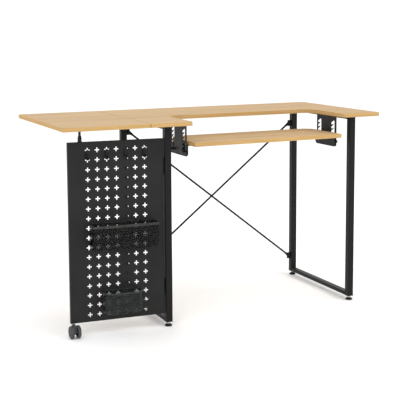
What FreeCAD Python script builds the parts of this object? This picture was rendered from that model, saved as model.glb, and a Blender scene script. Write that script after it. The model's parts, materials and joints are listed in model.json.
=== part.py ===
"""Sewing table: a board with a machine cut-out, a drop leaf, a lift platform and a swing-out pegboard.

Units are millimetres.  +X runs along the length (the drop leaf is at -X), +Y runs to the back, +Z is up.
The origin is on the floor, under the middle of the whole table with its leaf raised.
"""
import FreeCAD, Part
import os
import re
import Sketcher
from FreeCAD import Placement, Rotation, Vector

# Every driving dimension, one spreadsheet cell each.
DIMENSIONS = {
    # boards
    "table_height": 762,
    "table_depth": 580,
    "main_width": 967,
    "leaf_width": 320,
    "leaf_gap": 3,
    "board_thickness": 15,
    "rear_corner_radius": 25,
    # machine cut-out in the main board
    "cutout_inset": 163,
    "cutout_depth": 248,
    "cutout_inner_radius": 50,
    "cutout_front_radius": 10,
    # welded side frames
    "leg_size": 25,
    "tube_wall": 1.5,
    "tube_corner_radius": 2.5,
    "leg_inset_side": 74,
    "leg_inset_front": 53,
    "leg_bottom": 17,
    "insert_flange": 2,
    "insert_plug": 15,
    "rail_height": 15,
    # levelling feet
    "foot_radius": 14,
    "foot_disc_height": 5,
    "foot_shoulder_radius": 12,
    "foot_neck_radius": 8,
    "foot_neck_height": 5,
    "foot_nut_radius": 7,
    "foot_nut_height": 6,
    "foot_stud_radius": 4,
    "foot_stud_top": 46,
    "foot_clearance": 0.06,
    # cross brace between the rear legs
    "brace_rod_radius": 4,
    "brace_low": 88,
    "brace_high": 678,
    "brace_tab_length": 16,
    "brace_tab_height": 26,
    "brace_tab_thickness": 3,
    "brace_eye_radius": 7,
    "brace_eye_thickness": 3,
    "brace_rod_offset": 5,
    "brace_bolt_radius": 2.5,
    "brace_bolt_head_radius": 4.5,
    "brace_bolt_head_height": 3.5,
    # notched lift brackets under the main board
    "bracket_thickness": 2,
    "bracket_gap": 1,
    "bracket_front": 57,
    "bracket_length": 142,
    "bracket_height": 119,
    "bracket_corner_radius": 8,
    "bracket_flange": 28,
    "slot_radius": 5,
    "slot_front_offset": 17.5,
    "slot_spacing": 97,
    "slot_bottom": 646,
    "slot_top": 725,
    "notch_count": 5,
    "notch_pitch": 16,
    "notch_first": 725,
    "notch_reach": 17,
    "notch_fall": 28,
    "notch_radius": 4.7,
    # lift platform
    "platform_side_gap": 8,
    "platform_front": 4,
    "platform_depth": 239,
    "platform_drop": 78,
    "platform_corner_radius": 45,
    "angle_flange": 29,
    "angle_outset": 5,
    "angle_height": 41,
    "angle_thickness": 2,
    "angle_front": 58,
    "angle_length": 142,
    "angle_chamfer": 16,
    "lift_pin_radius": 3.5,
    "lift_pin_length": 19,
    "lift_pin_head_radius": 6.5,
    "lift_pin_head_height": 5,
    # drop-leaf hinges under the boards
    "leaf_hinge_first": 110,
    "leaf_hinge_second": 430,
    "leaf_hinge_length": 60,
    "leaf_hinge_reach": 28,
    "leaf_hinge_thickness": 1.5,
    "leaf_hinge_window": 4,
    "leaf_knuckle_radius": 2.6,
    "leaf_axis_drop": 2.7,
    # hinges of the pegboard panel on the front left leg
    "panel_axis_gap": 1.5,
    "panel_axis_behind_leg": 3.5,
    "panel_hinge_low": 120,
    "panel_hinge_high": 570,
    "panel_hinge_length": 60,
    "panel_hinge_thickness": 1.2,
    "panel_leaf_depth": 18,
    "panel_knuckle_radius": 2.7,
    "hinge_pin_radius": 1.5,
    "hinge_pin_clearance": 0.05,
    "knuckle_gap": 0.3,
    # pegboard panel
    "panel_rest_angle": -4.3,
    "panel_width": 352,
    "panel_bottom": 50,
    "panel_height": 650,
    "panel_face_offset": 21,
    "panel_flange_depth": 15.5,
    "panel_sheet": 1.5,
    "panel_corner_radius": 2,
    "peg_columns": 7,
    "peg_rows": 18,
    "peg_pitch": 35,
    "peg_cross": 16.5,
    "peg_slot": 4.2,
    "peg_side_margin": 71,
    "peg_end_margin": 26,
    # leaf rest on top of the panel
    "rest_from_end": 46,
    "rest_base_radius": 8,
    "rest_waist_radius": 6.5,
    "rest_base_height": 23,
    "rest_neck_radius": 4.5,
    "rest_pad_radius": 9,
    "rest_pad_height": 10,
    "rest_gap": 0.4,
    "rest_from_face": 8,
    # caster under the panel
    "caster_from_end": 10,
    "caster_trail": 20,
    "caster_angle": -2,
    "wheel_radius": 23,
    "wheel_width": 12,
    "wheel_spacing": 26.5,
    "wheel_hub_radius": 14,
    "caster_boss_radius": 9.9,
    "axle_radius": 3,
    "axle_clearance": 0.05,
    "caster_stem_radius": 4,
    "caster_hood_top": 44,
    "caster_hood_radius": 6,
    "caster_socket_radius": 6,
    "caster_hub_cap": 2,
    "caster_wheel_gap": 0.5,
    "caster_shell_gap": 3,
    "caster_socket_height": 14,
    # hanging accessories
    "hang_gap": 0.4,
    "hang_neck_half_width": 1.7,
    "hang_neck_height": 7.5,
    "hang_lip_drop": 7.5,
    "hang_lip_thickness": 2,
    "tray_row": 9,
    "tray_width": 241,
    "tray_depth": 62,
    "tray_bottom": 320,
    "tray_height": 88,
    "tray_wall": 2.5,
    "tray_corner_radius": 4,
    "tray_tab_span": 175,
    "tray_side_shift": 0,
    "bin_row": 16,
    "bin_width": 141,
    "bin_depth": 64,
    "bin_bottom": 85,
    "bin_height": 77,
    "bin_wall": 2.5,
    "bin_corner_radius": 28,
    "bin_tab_span": 35,
    "bin_side_shift": -9.5,
    "hook_plate_width": 14,
    "hook_plate_thickness": 2.5,
    "hook_plate_height": 38,
    "hook_wire_radius": 3,
    "hook_reach": 16,
    "hook_bend_radius": 8,
    "hook_tip_height": 6,
    "hook_arm_rise": 2,
    "hook_ball_radius": 3.75,
    # fasteners
    "screw_head_radius": 4,
    "screw_head_height": 2,
    "screw_shank_radius": 2,
    "screw_length": 12,
    "rivet_radius": 2.5,
    "rivet_head": 1,
    "screw_hole_clearance": 0.1,
    # how far cutting pieces run past what they cut
    "overrun": 1,
    "long_overrun": 10,
}

# Places worked out from the dimensions, written as formulas.
UNDERSIDE = "(table_height - board_thickness)"
MAIN_LEFT = "((leaf_width + leaf_gap - main_width) / 2)"
MAIN_RIGHT = "((leaf_width + leaf_gap + main_width) / 2)"
MAIN_MIDDLE = "((leaf_width + leaf_gap) / 2)"
LEAF_LEFT = "(-(leaf_width + leaf_gap + main_width) / 2)"
FRONT = "(-table_depth / 2)"
BACK = "(table_depth / 2)"
LEG_FRONT_Y = f"({FRONT} + leg_inset_front)"
LEG_REAR_Y = f"({BACK} - leg_inset_front - leg_size)"
LEG_LEFT_X = f"({MAIN_LEFT} + leg_inset_side)"
LEG_RIGHT_X = f"({MAIN_RIGHT} - leg_inset_side - leg_size)"
PLATFORM_TOP = "(table_height - platform_drop)"
PLATFORM_UNDERSIDE = f"({PLATFORM_TOP} - board_thickness)"
PLATFORM_LEFT = f"({MAIN_LEFT} + cutout_inset + platform_side_gap)"
PANEL_AXIS_X = f"({LEG_LEFT_X} - panel_axis_gap)"
PANEL_AXIS_Y = f"({LEG_FRONT_Y} + leg_size + panel_axis_behind_leg)"
PANEL_END = "(-panel_axis_gap - panel_width)"
PANEL_FACE = "(-panel_face_offset)"
PANEL_TOP = "(panel_bottom + panel_height)"
STEM_X = f"({PANEL_END} + caster_from_end)"
STEM_Y = f"({PANEL_FACE} + panel_flange_depth / 2)"
PEG_LAST_X = "(-panel_axis_gap - peg_side_margin)"
ACCESSORY_X = f"({PEG_LAST_X} - peg_pitch * (peg_columns - 2) / 2)"

doc = FreeCAD.newDocument("SewingTable")
sheet = doc.addObject("Spreadsheet::Sheet", "Size")
for row, (alias, number) in enumerate(DIMENSIONS.items(), start=1):
    sheet.set(f"A{row}", alias)
    sheet.set(f"B{row}", str(number))
    sheet.setAlias(f"B{row}", alias)
doc.recompute()

nodes = {}


# ---------------------------------------------------------------- helpers

def formula(text):
    """Turn plain dimension names into references to the spreadsheet."""
    def cell(match):
        word = match.group()
        return f"Size.{word}" if word in DIMENSIONS else word
    return re.sub(r"[a-z_]+", cell, str(text))


def bind(item, **formulas):
    """Bind properties to formulas; x, y, z and turn stand for the placement."""
    paths = {"x": "Placement.Base.x", "y": "Placement.Base.y", "z": "Placement.Base.z",
             "turn": "Placement.Rotation.Angle"}
    for name, text in formulas.items():
        item.setExpression(paths.get(name, name), formula(text))


def keep(item, name):
    """Make an object a sub-part of the table, under its own name."""
    item.Label = name
    nodes[name] = item
    return item


def box(length, width, height, x=0, y=0, z=0):
    """Block with its lowest corner at x, y, z."""
    item = doc.addObject("Part::Box", "Block")
    bind(item, Length=length, Width=width, Height=height, x=x, y=y, z=z)
    return item


AXIS_TURNS = {
    "z": Rotation(),
    "x": Rotation(Vector(0, 1, 0), 90),
    "y": Rotation(Vector(1, 0, 0), -90),
}


def cylinder(radius, height, x=0, y=0, z=0, axis="z"):
    """Round bar that starts at x, y, z and runs along a positive axis."""
    item = doc.addObject("Part::Cylinder", "Round")
    item.Placement = Placement(Vector(), AXIS_TURNS[axis])
    bind(item, Radius=radius, Height=height, x=x, y=y, z=z)
    return item


def cone(radius_low, radius_high, height, x=0, y=0, z=0):
    """Tapered round bar along +Z."""
    item = doc.addObject("Part::Cone", "Taper")
    bind(item, Radius1=radius_low, Radius2=radius_high, Height=height, x=x, y=y, z=z)
    return item


def hexagon(radius, height, x=0, y=0, z=0, axis="z"):
    """Hexagonal bar, measured to its corners."""
    item = doc.addObject("Part::Prism", "Hexagon")
    item.Polygon = 6
    item.Placement = Placement(Vector(), AXIS_TURNS[axis])
    bind(item, Circumradius=radius, Height=height, x=x, y=y, z=z)
    return item


def sphere(radius, x=0, y=0, z=0):
    """Full ball."""
    item = doc.addObject("Part::Sphere", "Ball")
    bind(item, Radius=radius, x=x, y=y, z=z)
    return item


def fuse(*items):
    """One solid from several that meet."""
    item = doc.addObject("Part::MultiFuse", "Fused")
    item.Shapes = list(items)
    item.Refine = True
    return item


def cut(base, *tools):
    """Base with the tools taken away."""
    item = doc.addObject("Part::Cut", "Trimmed")
    item.Base = base
    item.Tool = tools[0] if len(tools) == 1 else fuse(*tools)
    item.Refine = True
    return item


def group(*items):
    """Separate solids that share one node."""
    item = doc.addObject("Part::Compound", "Set")
    item.Links = list(items)
    return item


def mirrored(source):
    """Copy of a piece on the other side of the main board's middle."""
    item = doc.addObject("Part::Mirroring", "Mirrored")
    item.Source = source
    item.Normal = Vector(1, 0, 0)
    bind(item, **{"Base.x": MAIN_MIDDLE})
    return item


def origin_plane(body, role):
    """Plane of a body's own origin, such as XY_Plane."""
    return next(item for item in body.Origin.OriginFeatures if item.Role == role)


def sketch_on(body, role, offset=None):
    """New sketch on one of the body's origin planes, moved along the plane's normal."""
    sketch = body.newObject("Sketcher::SketchObject", "Outline")
    sketch.AttachmentSupport = (origin_plane(body, role), [""])
    sketch.MapMode = "FlatFace"
    if offset is not None:
        sketch.setExpression("AttachmentOffset.Base.z", formula(offset))
    return sketch


def fix_point(sketch, geometry, point, first, second):
    """Hold a point of the sketch at two distances from the origin."""
    for kind, text in (("DistanceX", first), ("DistanceY", second)):
        index = sketch.addConstraint(Sketcher.Constraint(kind, -1, 1, geometry, point, 1.0))
        sketch.setExpression(f"Constraints[{index}]", formula(text))


def polygon(sketch, corners):
    """Closed loop of straight edges; each corner is a pair of formulas."""
    first = sketch.GeometryCount
    count = len(corners)
    turn = Rotation(Vector(0, 0, 1), 360 / count)
    start = Vector(1, 0, 0)
    for _ in corners:
        end = turn.multVec(start)
        sketch.addGeometry(Part.LineSegment(start, end), False)
        start = end
    for step in range(count):
        here, after = first + step, first + (step + 1) % count
        sketch.addConstraint(Sketcher.Constraint("Coincident", here, 2, after, 1))
    for step, (across, along) in enumerate(corners):
        fix_point(sketch, first + step, 1, across, along)


def rectangle(sketch, left, low, width, height):
    """Closed rectangle from its lower left corner."""
    right, high = f"{left} + {width}", f"{low} + {height}"
    polygon(sketch, [(left, low), (right, low), (right, high), (left, high)])


def add_feature(body, kind, sketch, length, reverse=False):
    """Pad or Pocket of a sketch, by a bound length."""
    feature = body.newObject(f"PartDesign::{kind}", kind)
    feature.Profile = sketch
    feature.Reversed = reverse
    bind(feature, Length=length)
    doc.recompute()
    return feature


def cut_feature(body, sketch, length, reverse=False):
    """Pocket that has to take material away."""
    before = body.Shape.Volume
    feature = add_feature(body, "Pocket", sketch, length, reverse)
    if body.Shape.Volume >= before:
        raise RuntimeError(f"a pocket in {body.Label} cuts nothing")
    return feature


def round_edges(body, radius, wanted):
    """Fillet the edges of the body's last feature that wanted(edge) picks."""
    base = body.Tip
    names = [f"Edge{number}" for number, edge in enumerate(base.Shape.Edges, start=1) if wanted(edge)]
    fillet = body.newObject("PartDesign::Fillet", "Fillet")
    fillet.Base = (base, names)
    bind(fillet, Radius=radius)
    doc.recompute()


def runs_along(axis):
    """Test for straight edges that run along x, y or z."""
    def test(edge):
        if edge.Curve.TypeId != "Part::GeomLine":
            return False
        start, end = edge.Vertexes[0].Point, edge.Vertexes[-1].Point
        return abs(getattr(end - start, axis)) > 0.999 * edge.Length
    return test


def size(name):
    """Number in one spreadsheet cell."""
    return float(getattr(sheet, name))


def new_body(name):
    """Empty PartDesign body that becomes a sub-part."""
    return keep(doc.addObject("PartDesign::Body", "Body"), name)


def in_panel_frame(item):
    """Place a piece drawn about the panel's hinge axis."""
    bind(item, x=PANEL_AXIS_X, y=PANEL_AXIS_Y, turn="panel_rest_angle")
    return item


# ---------------------------------------------------------------- boards

def main_top():
    """Main board with the machine cut-out in its front edge."""
    body = new_body("main_top")
    sketch = sketch_on(body, "XY_Plane", UNDERSIDE)
    cutout_left = f"{MAIN_LEFT} + cutout_inset"
    cutout_right = f"{MAIN_RIGHT} - cutout_inset"
    cutout_back = f"{FRONT} + cutout_depth"
    polygon(sketch, [
        (MAIN_LEFT, FRONT), (cutout_left, FRONT), (cutout_left, cutout_back), (cutout_right, cutout_back),
        (cutout_right, FRONT), (MAIN_RIGHT, FRONT), (MAIN_RIGHT, BACK), (MAIN_LEFT, BACK)])
    add_feature(body, "Pad", sketch, "board_thickness")
    middle = (size("leaf_width") + size("leaf_gap")) / 2
    half_cutout = size("main_width") / 2 - size("cutout_inset")
    upright = runs_along("z")

    def on_cutout_side(edge):
        return upright(edge) and abs(abs(edge.CenterOfMass.x - middle) - half_cutout) < 1

    def at_front(edge):
        return edge.CenterOfMass.y < 1 - size("table_depth") / 2

    def rear_right(edge):
        point = edge.CenterOfMass
        return upright(edge) and point.x > middle + half_cutout + 1 and not at_front(edge)

    round_edges(body, "cutout_inner_radius", lambda edge: on_cutout_side(edge) and not at_front(edge))
    round_edges(body, "cutout_front_radius", lambda edge: on_cutout_side(edge) and at_front(edge))
    round_edges(body, "rear_corner_radius", rear_right)


def side_leaf():
    """Drop leaf on the left."""
    body = new_body("side_leaf")
    sketch = sketch_on(body, "XY_Plane", UNDERSIDE)
    rectangle(sketch, LEAF_LEFT, FRONT, "leaf_width", "table_depth")
    add_feature(body, "Pad", sketch, "board_thickness")


def platform_board():
    """Board that carries the machine and rises flush into the cut-out."""
    body = new_body("platform_board")
    sketch = sketch_on(body, "XY_Plane", PLATFORM_UNDERSIDE)
    rectangle(sketch, PLATFORM_LEFT, f"{FRONT} + platform_front",
              "(main_width - 2 * cutout_inset - 2 * platform_side_gap)", "platform_depth")
    add_feature(body, "Pad", sketch, "board_thickness")
    upright = runs_along("z")
    middle_y = body.Shape.BoundBox.Center.y
    round_edges(body, "platform_corner_radius", lambda edge: upright(edge) and edge.CenterOfMass.y > middle_y)


# ---------------------------------------------------------------- side frames

def tube_body(name, role, offset, left, low, width, height, length, reverse=False):
    """Square tube with rounded corners, drawn on an origin plane."""
    body = new_body(name)
    sketch = sketch_on(body, role, offset)
    rectangle(sketch, left, low, width, height)
    rectangle(sketch, f"{left} + tube_wall", f"{low} + tube_wall",
              f"({width} - 2 * tube_wall)", f"({height} - 2 * tube_wall)")
    add_feature(body, "Pad", sketch, length, reverse)
    along = runs_along("z" if role == "XY_Plane" else "y")
    box_of_body = body.Shape.BoundBox

    def outside(edge):
        point = edge.CenterOfMass
        if role == "XY_Plane":
            return abs(abs(point.y - box_of_body.Center.y) - box_of_body.YLength / 2) < 0.1
        return abs(abs(point.z - box_of_body.Center.z) - box_of_body.ZLength / 2) < 0.1

    round_edges(body, "tube_corner_radius", lambda edge: along(edge) and outside(edge))


def side_frames():
    """Four legs, the rails between them and the plastic inserts in the legs."""
    inserts = []
    for side, leg_x in (("left", LEG_LEFT_X), ("right", LEG_RIGHT_X)):
        for end, leg_y in (("front", LEG_FRONT_Y), ("rear", LEG_REAR_Y)):
            tube_body(f"{end}_{side}_leg", "XY_Plane", "leg_bottom + insert_flange",
                      leg_x, leg_y, "leg_size", "leg_size",
                      f"{UNDERSIDE} - leg_bottom - insert_flange")
            inserts.append(foot_insert(leg_x, leg_y))
        rail_length = f"{LEG_REAR_Y} - {LEG_FRONT_Y} - leg_size"
        for level, rail_z in (("bottom", "leg_bottom"), ("top", f"({UNDERSIDE} - rail_height)")):
            tube_body(f"{side}_{level}_rail", "XZ_Plane", f"-({LEG_FRONT_Y} + leg_size)",
                      leg_x, rail_z, "leg_size", "rail_height", rail_length, reverse=True)
    keep(group(*inserts), "foot_inserts")


def foot_insert(leg_x, leg_y):
    """Plug in the bottom of a leg, bored for the foot's stud."""
    flange = box("leg_size", "leg_size", "insert_flange", leg_x, leg_y, "leg_bottom")
    edge = "(tube_wall + foot_clearance)"
    plug_size = f"leg_size - 2 * {edge}"
    plug = box(plug_size, plug_size, "insert_flange + insert_plug",
               f"{leg_x} + {edge}", f"{leg_y} + {edge}", "leg_bottom")
    bore = cylinder("foot_stud_radius + foot_clearance", "insert_flange + insert_plug + 2 * overrun",
                    f"{leg_x} + leg_size / 2", f"{leg_y} + leg_size / 2", "leg_bottom - overrun")
    return cut(fuse(flange, plug), bore)


def levelling_foot(name, leg_x, leg_y):
    """Plastic glide with a steel stud that screws into the leg."""
    middle = {"x": f"{leg_x} + leg_size / 2", "y": f"{leg_y} + leg_size / 2"}
    disc = cylinder("foot_radius", "foot_disc_height", **middle)
    neck = cone("foot_shoulder_radius", "foot_neck_radius", "foot_neck_height", z="foot_disc_height", **middle)
    keep(fuse(disc, neck), f"{name}_foot_glide")
    glide_top = "(foot_disc_height + foot_neck_height)"
    nut = hexagon("foot_nut_radius", "foot_nut_height", z=glide_top, **middle)
    stud = cylinder("foot_stud_radius", f"foot_stud_top - {glide_top}", z=glide_top, **middle)
    keep(fuse(nut, stud), f"{name}_foot_stud")


# ---------------------------------------------------------------- cross brace

def brace_rod(name, side, left_z, right_z):
    """Rod between the rear legs, with a flattened and bored eye at each end."""
    plane_y = f"({LEG_REAR_Y} + leg_size / 2)"
    hole_inset = "(brace_tab_length - brace_eye_radius)"
    left_x = f"({LEG_LEFT_X} + leg_size + {hole_inset})"
    right_x = f"({LEG_RIGHT_X} - {hole_inset})"
    near_face = "brace_tab_thickness / 2" if side > 0 else "-(brace_tab_thickness / 2 + brace_eye_thickness)"
    run = f"({right_x} - {left_x})"
    climb = f"({right_z} - {left_z})"
    slope = f"atan2({climb}; {run})"
    length = f"sqrt({run} ^ 2 + {climb} ^ 2)"

    rod = doc.addObject("Part::Cylinder", "Rod")
    flat = doc.addObject("Part::Box", "Flat")
    bind(rod, Radius="brace_rod_radius", Height=f"{length} - 4 * brace_eye_radius")
    bind(flat, Length=length, Width="brace_eye_thickness", Height="1.2 * brace_eye_radius")
    rod.Placement = Placement(Vector(), AXIS_TURNS["x"])
    bind(rod, x="2 * brace_eye_radius", y=f"{side} * brace_rod_offset")
    bind(flat, y=f"{near_face}", z="-0.6 * brace_eye_radius")
    window = box(f"{length} - 6 * brace_eye_radius", "2 * long_overrun", "2 * long_overrun",
                 "3 * brace_eye_radius", "-long_overrun", "-long_overrun")
    bars = [rod, cut(flat, window)]
    for place in ("0", length):
        bars.append(cylinder("brace_eye_radius", "brace_eye_thickness", place, near_face, 0, axis="y"))
    holes = [cylinder("brace_bolt_radius", "2 * long_overrun", place, "-long_overrun", 0, axis="y")
             for place in ("0", length)]
    piece = cut(fuse(*bars), *holes)
    piece.Placement = Placement(Vector(), Rotation(Vector(0, -1, 0), 1))
    bind(piece, x=left_x, y=plane_y, z=left_z, turn=slope)
    keep(piece, name)
    return [(left_x, left_z), (right_x, right_z)]


def cross_brace():
    """Two crossing rods, the ears they are bolted to, and the bolts."""
    ends = brace_rod("brace_rod_falling", -1, "brace_high", "brace_low")
    ends += brace_rod("brace_rod_rising", 1, "brace_low", "brace_high")
    plane_y = f"({LEG_REAR_Y} + leg_size / 2)"
    ears, bolts = [], []
    for number, (hole_x, hole_z) in enumerate(ends):
        ear_x = f"{LEG_LEFT_X} + leg_size" if number % 2 == 0 else f"{LEG_RIGHT_X} - brace_tab_length"
        plate = box("brace_tab_length", "brace_tab_thickness", "brace_tab_height", ear_x,
                    f"{plane_y} - brace_tab_thickness / 2", f"{hole_z} - brace_tab_height / 2")
        hole = cylinder("brace_bolt_radius", "2 * long_overrun", hole_x, f"{plane_y} - long_overrun",
                        hole_z, axis="y")
        ears.append(cut(plate, hole))
        bolts.append(brace_bolt(hole_x, hole_z, -1 if number < 2 else 1))
    keep(group(*ears), "brace_ears")
    keep(group(*bolts), "brace_bolts")


def brace_bolt(hole_x, hole_z, side):
    """Bolt and nut through an ear and the eye on one side of it."""
    plane_y = f"({LEG_REAR_Y} + leg_size / 2)"
    ear_half, eye = "brace_tab_thickness / 2", "brace_eye_thickness"
    low = f"{plane_y} - {ear_half}" + (f" - {eye}" if side < 0 else "")
    grip = f"brace_tab_thickness + {eye}"
    head = "brace_bolt_head_height"
    shank = cylinder("brace_bolt_radius - hinge_pin_clearance", f"{grip} + 2 * {head}",
                     hole_x, f"{low} - {head}", hole_z, "y")
    ends = [hexagon("brace_bolt_head_radius", head, hole_x, place, hole_z, "y")
            for place in (f"{low} - {head}", f"{low} + {grip}")]
    return fuse(shank, *ends)


# ---------------------------------------------------------------- lift brackets and platform

def lift_bracket():
    """Left notched plate with its flange under the main board."""
    inner_x = f"({MAIN_LEFT} + cutout_inset - bracket_gap)"
    plate_x = f"({inner_x} - bracket_thickness)"
    front_y = f"({FRONT} + bracket_front)"
    low_z = f"({UNDERSIDE} - bracket_height)"
    body = doc.addObject("PartDesign::Body", "Plate")
    sketch = sketch_on(body, "YZ_Plane", plate_x)
    rectangle(sketch, front_y, low_z, "bracket_length", "bracket_height")
    add_feature(body, "Pad", sketch, "bracket_thickness")
    across = runs_along("x")
    bottom = size("table_height") - size("board_thickness") - size("bracket_height")
    round_edges(body, "bracket_corner_radius",
                lambda edge: across(edge) and edge.CenterOfMass.z < bottom + 1)
    flange = box("bracket_flange", "bracket_length", "bracket_thickness",
                 f"{inner_x} - bracket_flange", front_y, f"{UNDERSIDE} - bracket_thickness")
    tools = []
    for slot_y in (f"({front_y} + slot_front_offset)", f"({front_y} + slot_front_offset + slot_spacing)"):
        tools += notched_slot(plate_x, slot_y)
    tools += [clearance_hole(place) for place in bracket_screw_places()]
    keep(cut(fuse(body, flange), *tools), "left_lift_bracket")
    keep(mirrored(nodes["left_lift_bracket"]), "right_lift_bracket")


def notched_slot(plate_x, slot_y):
    """Tools for one slot: an upright channel with notches that fall to the rear."""
    through = "bracket_thickness + 2 * overrun"
    start_x = f"{plate_x} - overrun"
    tools = [box(through, "2 * slot_radius", "slot_top - slot_bottom",
                 start_x, f"{slot_y} - slot_radius", "slot_bottom")]
    for end_z in ("slot_bottom", "slot_top"):
        tools.append(cylinder("slot_radius", through, start_x, slot_y, end_z, axis="x"))
    for number in range(int(size("notch_count"))):
        height = f"(notch_first - {number} * notch_pitch)"
        lobe = doc.addObject("Part::Box", "Notch")
        lobe.Placement = Placement(Vector(), Rotation(Vector(-1, 0, 0), 1))
        bind(lobe, Length=through, Width="notch_reach", Height="2 * notch_radius", x=start_x,
             y=f"{slot_y} - notch_radius * sin(notch_fall)", turn="notch_fall",
             z=f"{height} - notch_radius * cos(notch_fall)")
        lobe_end = cylinder("notch_radius", through, start_x, f"{slot_y} + notch_reach * cos(notch_fall)",
                            f"{height} - notch_reach * sin(notch_fall)", axis="x")
        tools += [lobe, lobe_end]
    return tools


def bracket_screw_places():
    """Centres of the three screws through the left bracket's flange."""
    screw_x = f"({MAIN_LEFT} + cutout_inset - bracket_gap - 0.6 * bracket_flange)"
    return [(screw_x, f"({FRONT} + bracket_front + {share} * bracket_length)",
             f"({UNDERSIDE} - bracket_thickness)") for share in (0.15, 0.5, 0.85)]


def clearance_hole(place):
    """Upright hole for a screw's shank."""
    x, y, z = place
    return cylinder("screw_shank_radius + screw_hole_clearance", "long_overrun", x, y,
                    f"{z} - long_overrun / 2")


def wood_screw(place, rises="screw_length"):
    """Pan-head screw driven upwards from the face at place."""
    x, y, z = place
    head = cylinder("screw_head_radius", "screw_head_height", x, y, f"{z} - screw_head_height")
    shank = cylinder("screw_shank_radius", rises, x, y, z)
    return fuse(head, shank)


def platform_hardware():
    """Side angles under the platform, their screws and the lift pins."""
    left_x = f"({PLATFORM_LEFT} - angle_outset)"
    front_y = f"({FRONT} + angle_front)"
    low_z = f"({PLATFORM_UNDERSIDE} - angle_height)"
    body = doc.addObject("PartDesign::Body", "Web")
    sketch = sketch_on(body, "YZ_Plane", left_x)
    back_y = f"({front_y} + angle_length)"
    polygon(sketch, [
        (front_y, PLATFORM_UNDERSIDE), (front_y, f"{low_z} + angle_chamfer / 2"),
        (f"{front_y} + angle_chamfer / 2", low_z), (f"{back_y} - angle_chamfer / 2", low_z),
        (back_y, f"{low_z} + angle_chamfer / 2"), (back_y, PLATFORM_UNDERSIDE)])
    add_feature(body, "Pad", sketch, "angle_thickness")
    flange = box("angle_flange", "angle_length", "angle_thickness",
                 left_x, front_y, f"{PLATFORM_UNDERSIDE} - angle_thickness")
    places = [(f"({left_x} + 0.6 * angle_flange)", f"({front_y} + {share} * angle_length)",
               f"({PLATFORM_UNDERSIDE} - angle_thickness)") for share in (0.15, 0.5, 0.85)]
    holes = [clearance_hole(place) for place in places]
    keep(cut(fuse(body, flange), *holes), "left_platform_angle")
    keep(mirrored(nodes["left_platform_angle"]), "right_platform_angle")
    screws = [wood_screw(place) for place in places]
    keep(group(*screws, *[mirrored(screw) for screw in screws]), "platform_screws")

    pins = []
    for share in ("0", "slot_spacing"):
        pin_y = f"({FRONT} + bracket_front + slot_front_offset + {share})"
        shaft = cylinder("lift_pin_radius", "lift_pin_length", f"{left_x} - lift_pin_length", pin_y,
                         "slot_bottom", axis="x")
        cap = cylinder("lift_pin_head_radius", "lift_pin_head_height",
                       f"{left_x} - lift_pin_length", pin_y, "slot_bottom", axis="x")
        pins.append(fuse(shaft, cap))
    keep(group(*pins, *[mirrored(pin) for pin in pins]), "lift_pins")


# ---------------------------------------------------------------- fasteners of the fixed frame

def frame_screws():
    """Screws up through the top rails and through the bracket flanges."""
    screws = [wood_screw(place) for place in bracket_screw_places()]
    screws += [mirrored(screw) for screw in screws]
    keep(group(*screws), "bracket_screws")
    rail_bolts = []
    for leg_x in (LEG_LEFT_X, LEG_RIGHT_X):
        for share in (0.12, 0.5, 0.88):
            y = f"({LEG_FRONT_Y} + leg_size + {share} * ({LEG_REAR_Y} - {LEG_FRONT_Y} - leg_size))"
            place = (f"({leg_x} + leg_size / 2)", y, f"({UNDERSIDE} - rail_height)")
            rail_bolts.append(wood_screw(place, "rail_height + screw_length"))
    keep(group(*rail_bolts), "rail_screws")


# ---------------------------------------------------------------- hinges

def leaf_hinges():
    """Two butt hinges under the joint between the boards; the axis runs along Y."""
    axis_x = f"({MAIN_LEFT} - leaf_gap / 2)"
    axis_z = f"({UNDERSIDE} - leaf_axis_drop)"
    plate_z = f"({UNDERSIDE} - leaf_hinge_thickness)"
    third = "(leaf_hinge_length / 3)"
    sets = {"fixed": [], "moving": [], "pin": [], "fixed_screw": [], "moving_screw": []}
    for offset in ("leaf_hinge_first", "leaf_hinge_second"):
        start_y = f"({FRONT} + {offset})"
        for side in ("fixed", "moving"):
            left = axis_x if side == "fixed" else f"{axis_x} - leaf_hinge_reach"
            plate = box("leaf_hinge_reach", "leaf_hinge_length", "leaf_hinge_thickness", left, start_y, plate_z)
            if side == "fixed":
                spans = [(start_y, third), (f"({start_y} + 2 * {third})", third)]
                clear = [(f"({start_y} + {third} - knuckle_gap)", f"({third} + 2 * knuckle_gap)")]
            else:
                spans = [(f"({start_y} + {third})", third)]
                outer = f"({third} + overrun + knuckle_gap)"
                clear = [(f"({start_y} - overrun)", outer),
                         (f"({start_y} + 2 * {third} - knuckle_gap)", outer)]
            windows = [box("2 * leaf_hinge_window", length, "2 * long_overrun",
                           f"{axis_x} - leaf_hinge_window", begin, f"{axis_z} - long_overrun")
                       for begin, length in clear]
            rolls, bores = [], []
            for begin, length in spans:
                rolls.append(cylinder("leaf_knuckle_radius", length, axis_x, begin, axis_z, "y"))
                bores.append(cylinder("hinge_pin_radius + hinge_pin_clearance", f"{length} + 2 * overrun",
                                      axis_x, f"{begin} - overrun", axis_z, "y"))
            direction = "" if side == "fixed" else "-"
            places = [(f"({axis_x} + {direction}0.62 * leaf_hinge_reach)",
                       f"({start_y} + {share} * leaf_hinge_length)", plate_z) for share in (0.2, 0.8)]
            holes = [clearance_hole(place) for place in places]
            sets[side].append(cut(fuse(plate, *rolls), *windows, *bores, *holes))
            sets[f"{side}_screw"] += [wood_screw(place) for place in places]
        sets["pin"].append(cylinder("hinge_pin_radius", "leaf_hinge_length", axis_x, start_y, axis_z, "y"))
    keep(group(*sets["fixed"]), "leaf_hinge_fixed_plates")
    keep(group(*sets["moving"]), "leaf_hinge_moving_plates")
    keep(group(*sets["pin"]), "leaf_hinge_pins")
    keep(group(*sets["fixed_screw"]), "leaf_hinge_fixed_screws")
    keep(group(*sets["moving_screw"]), "leaf_hinge_moving_screws")


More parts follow.
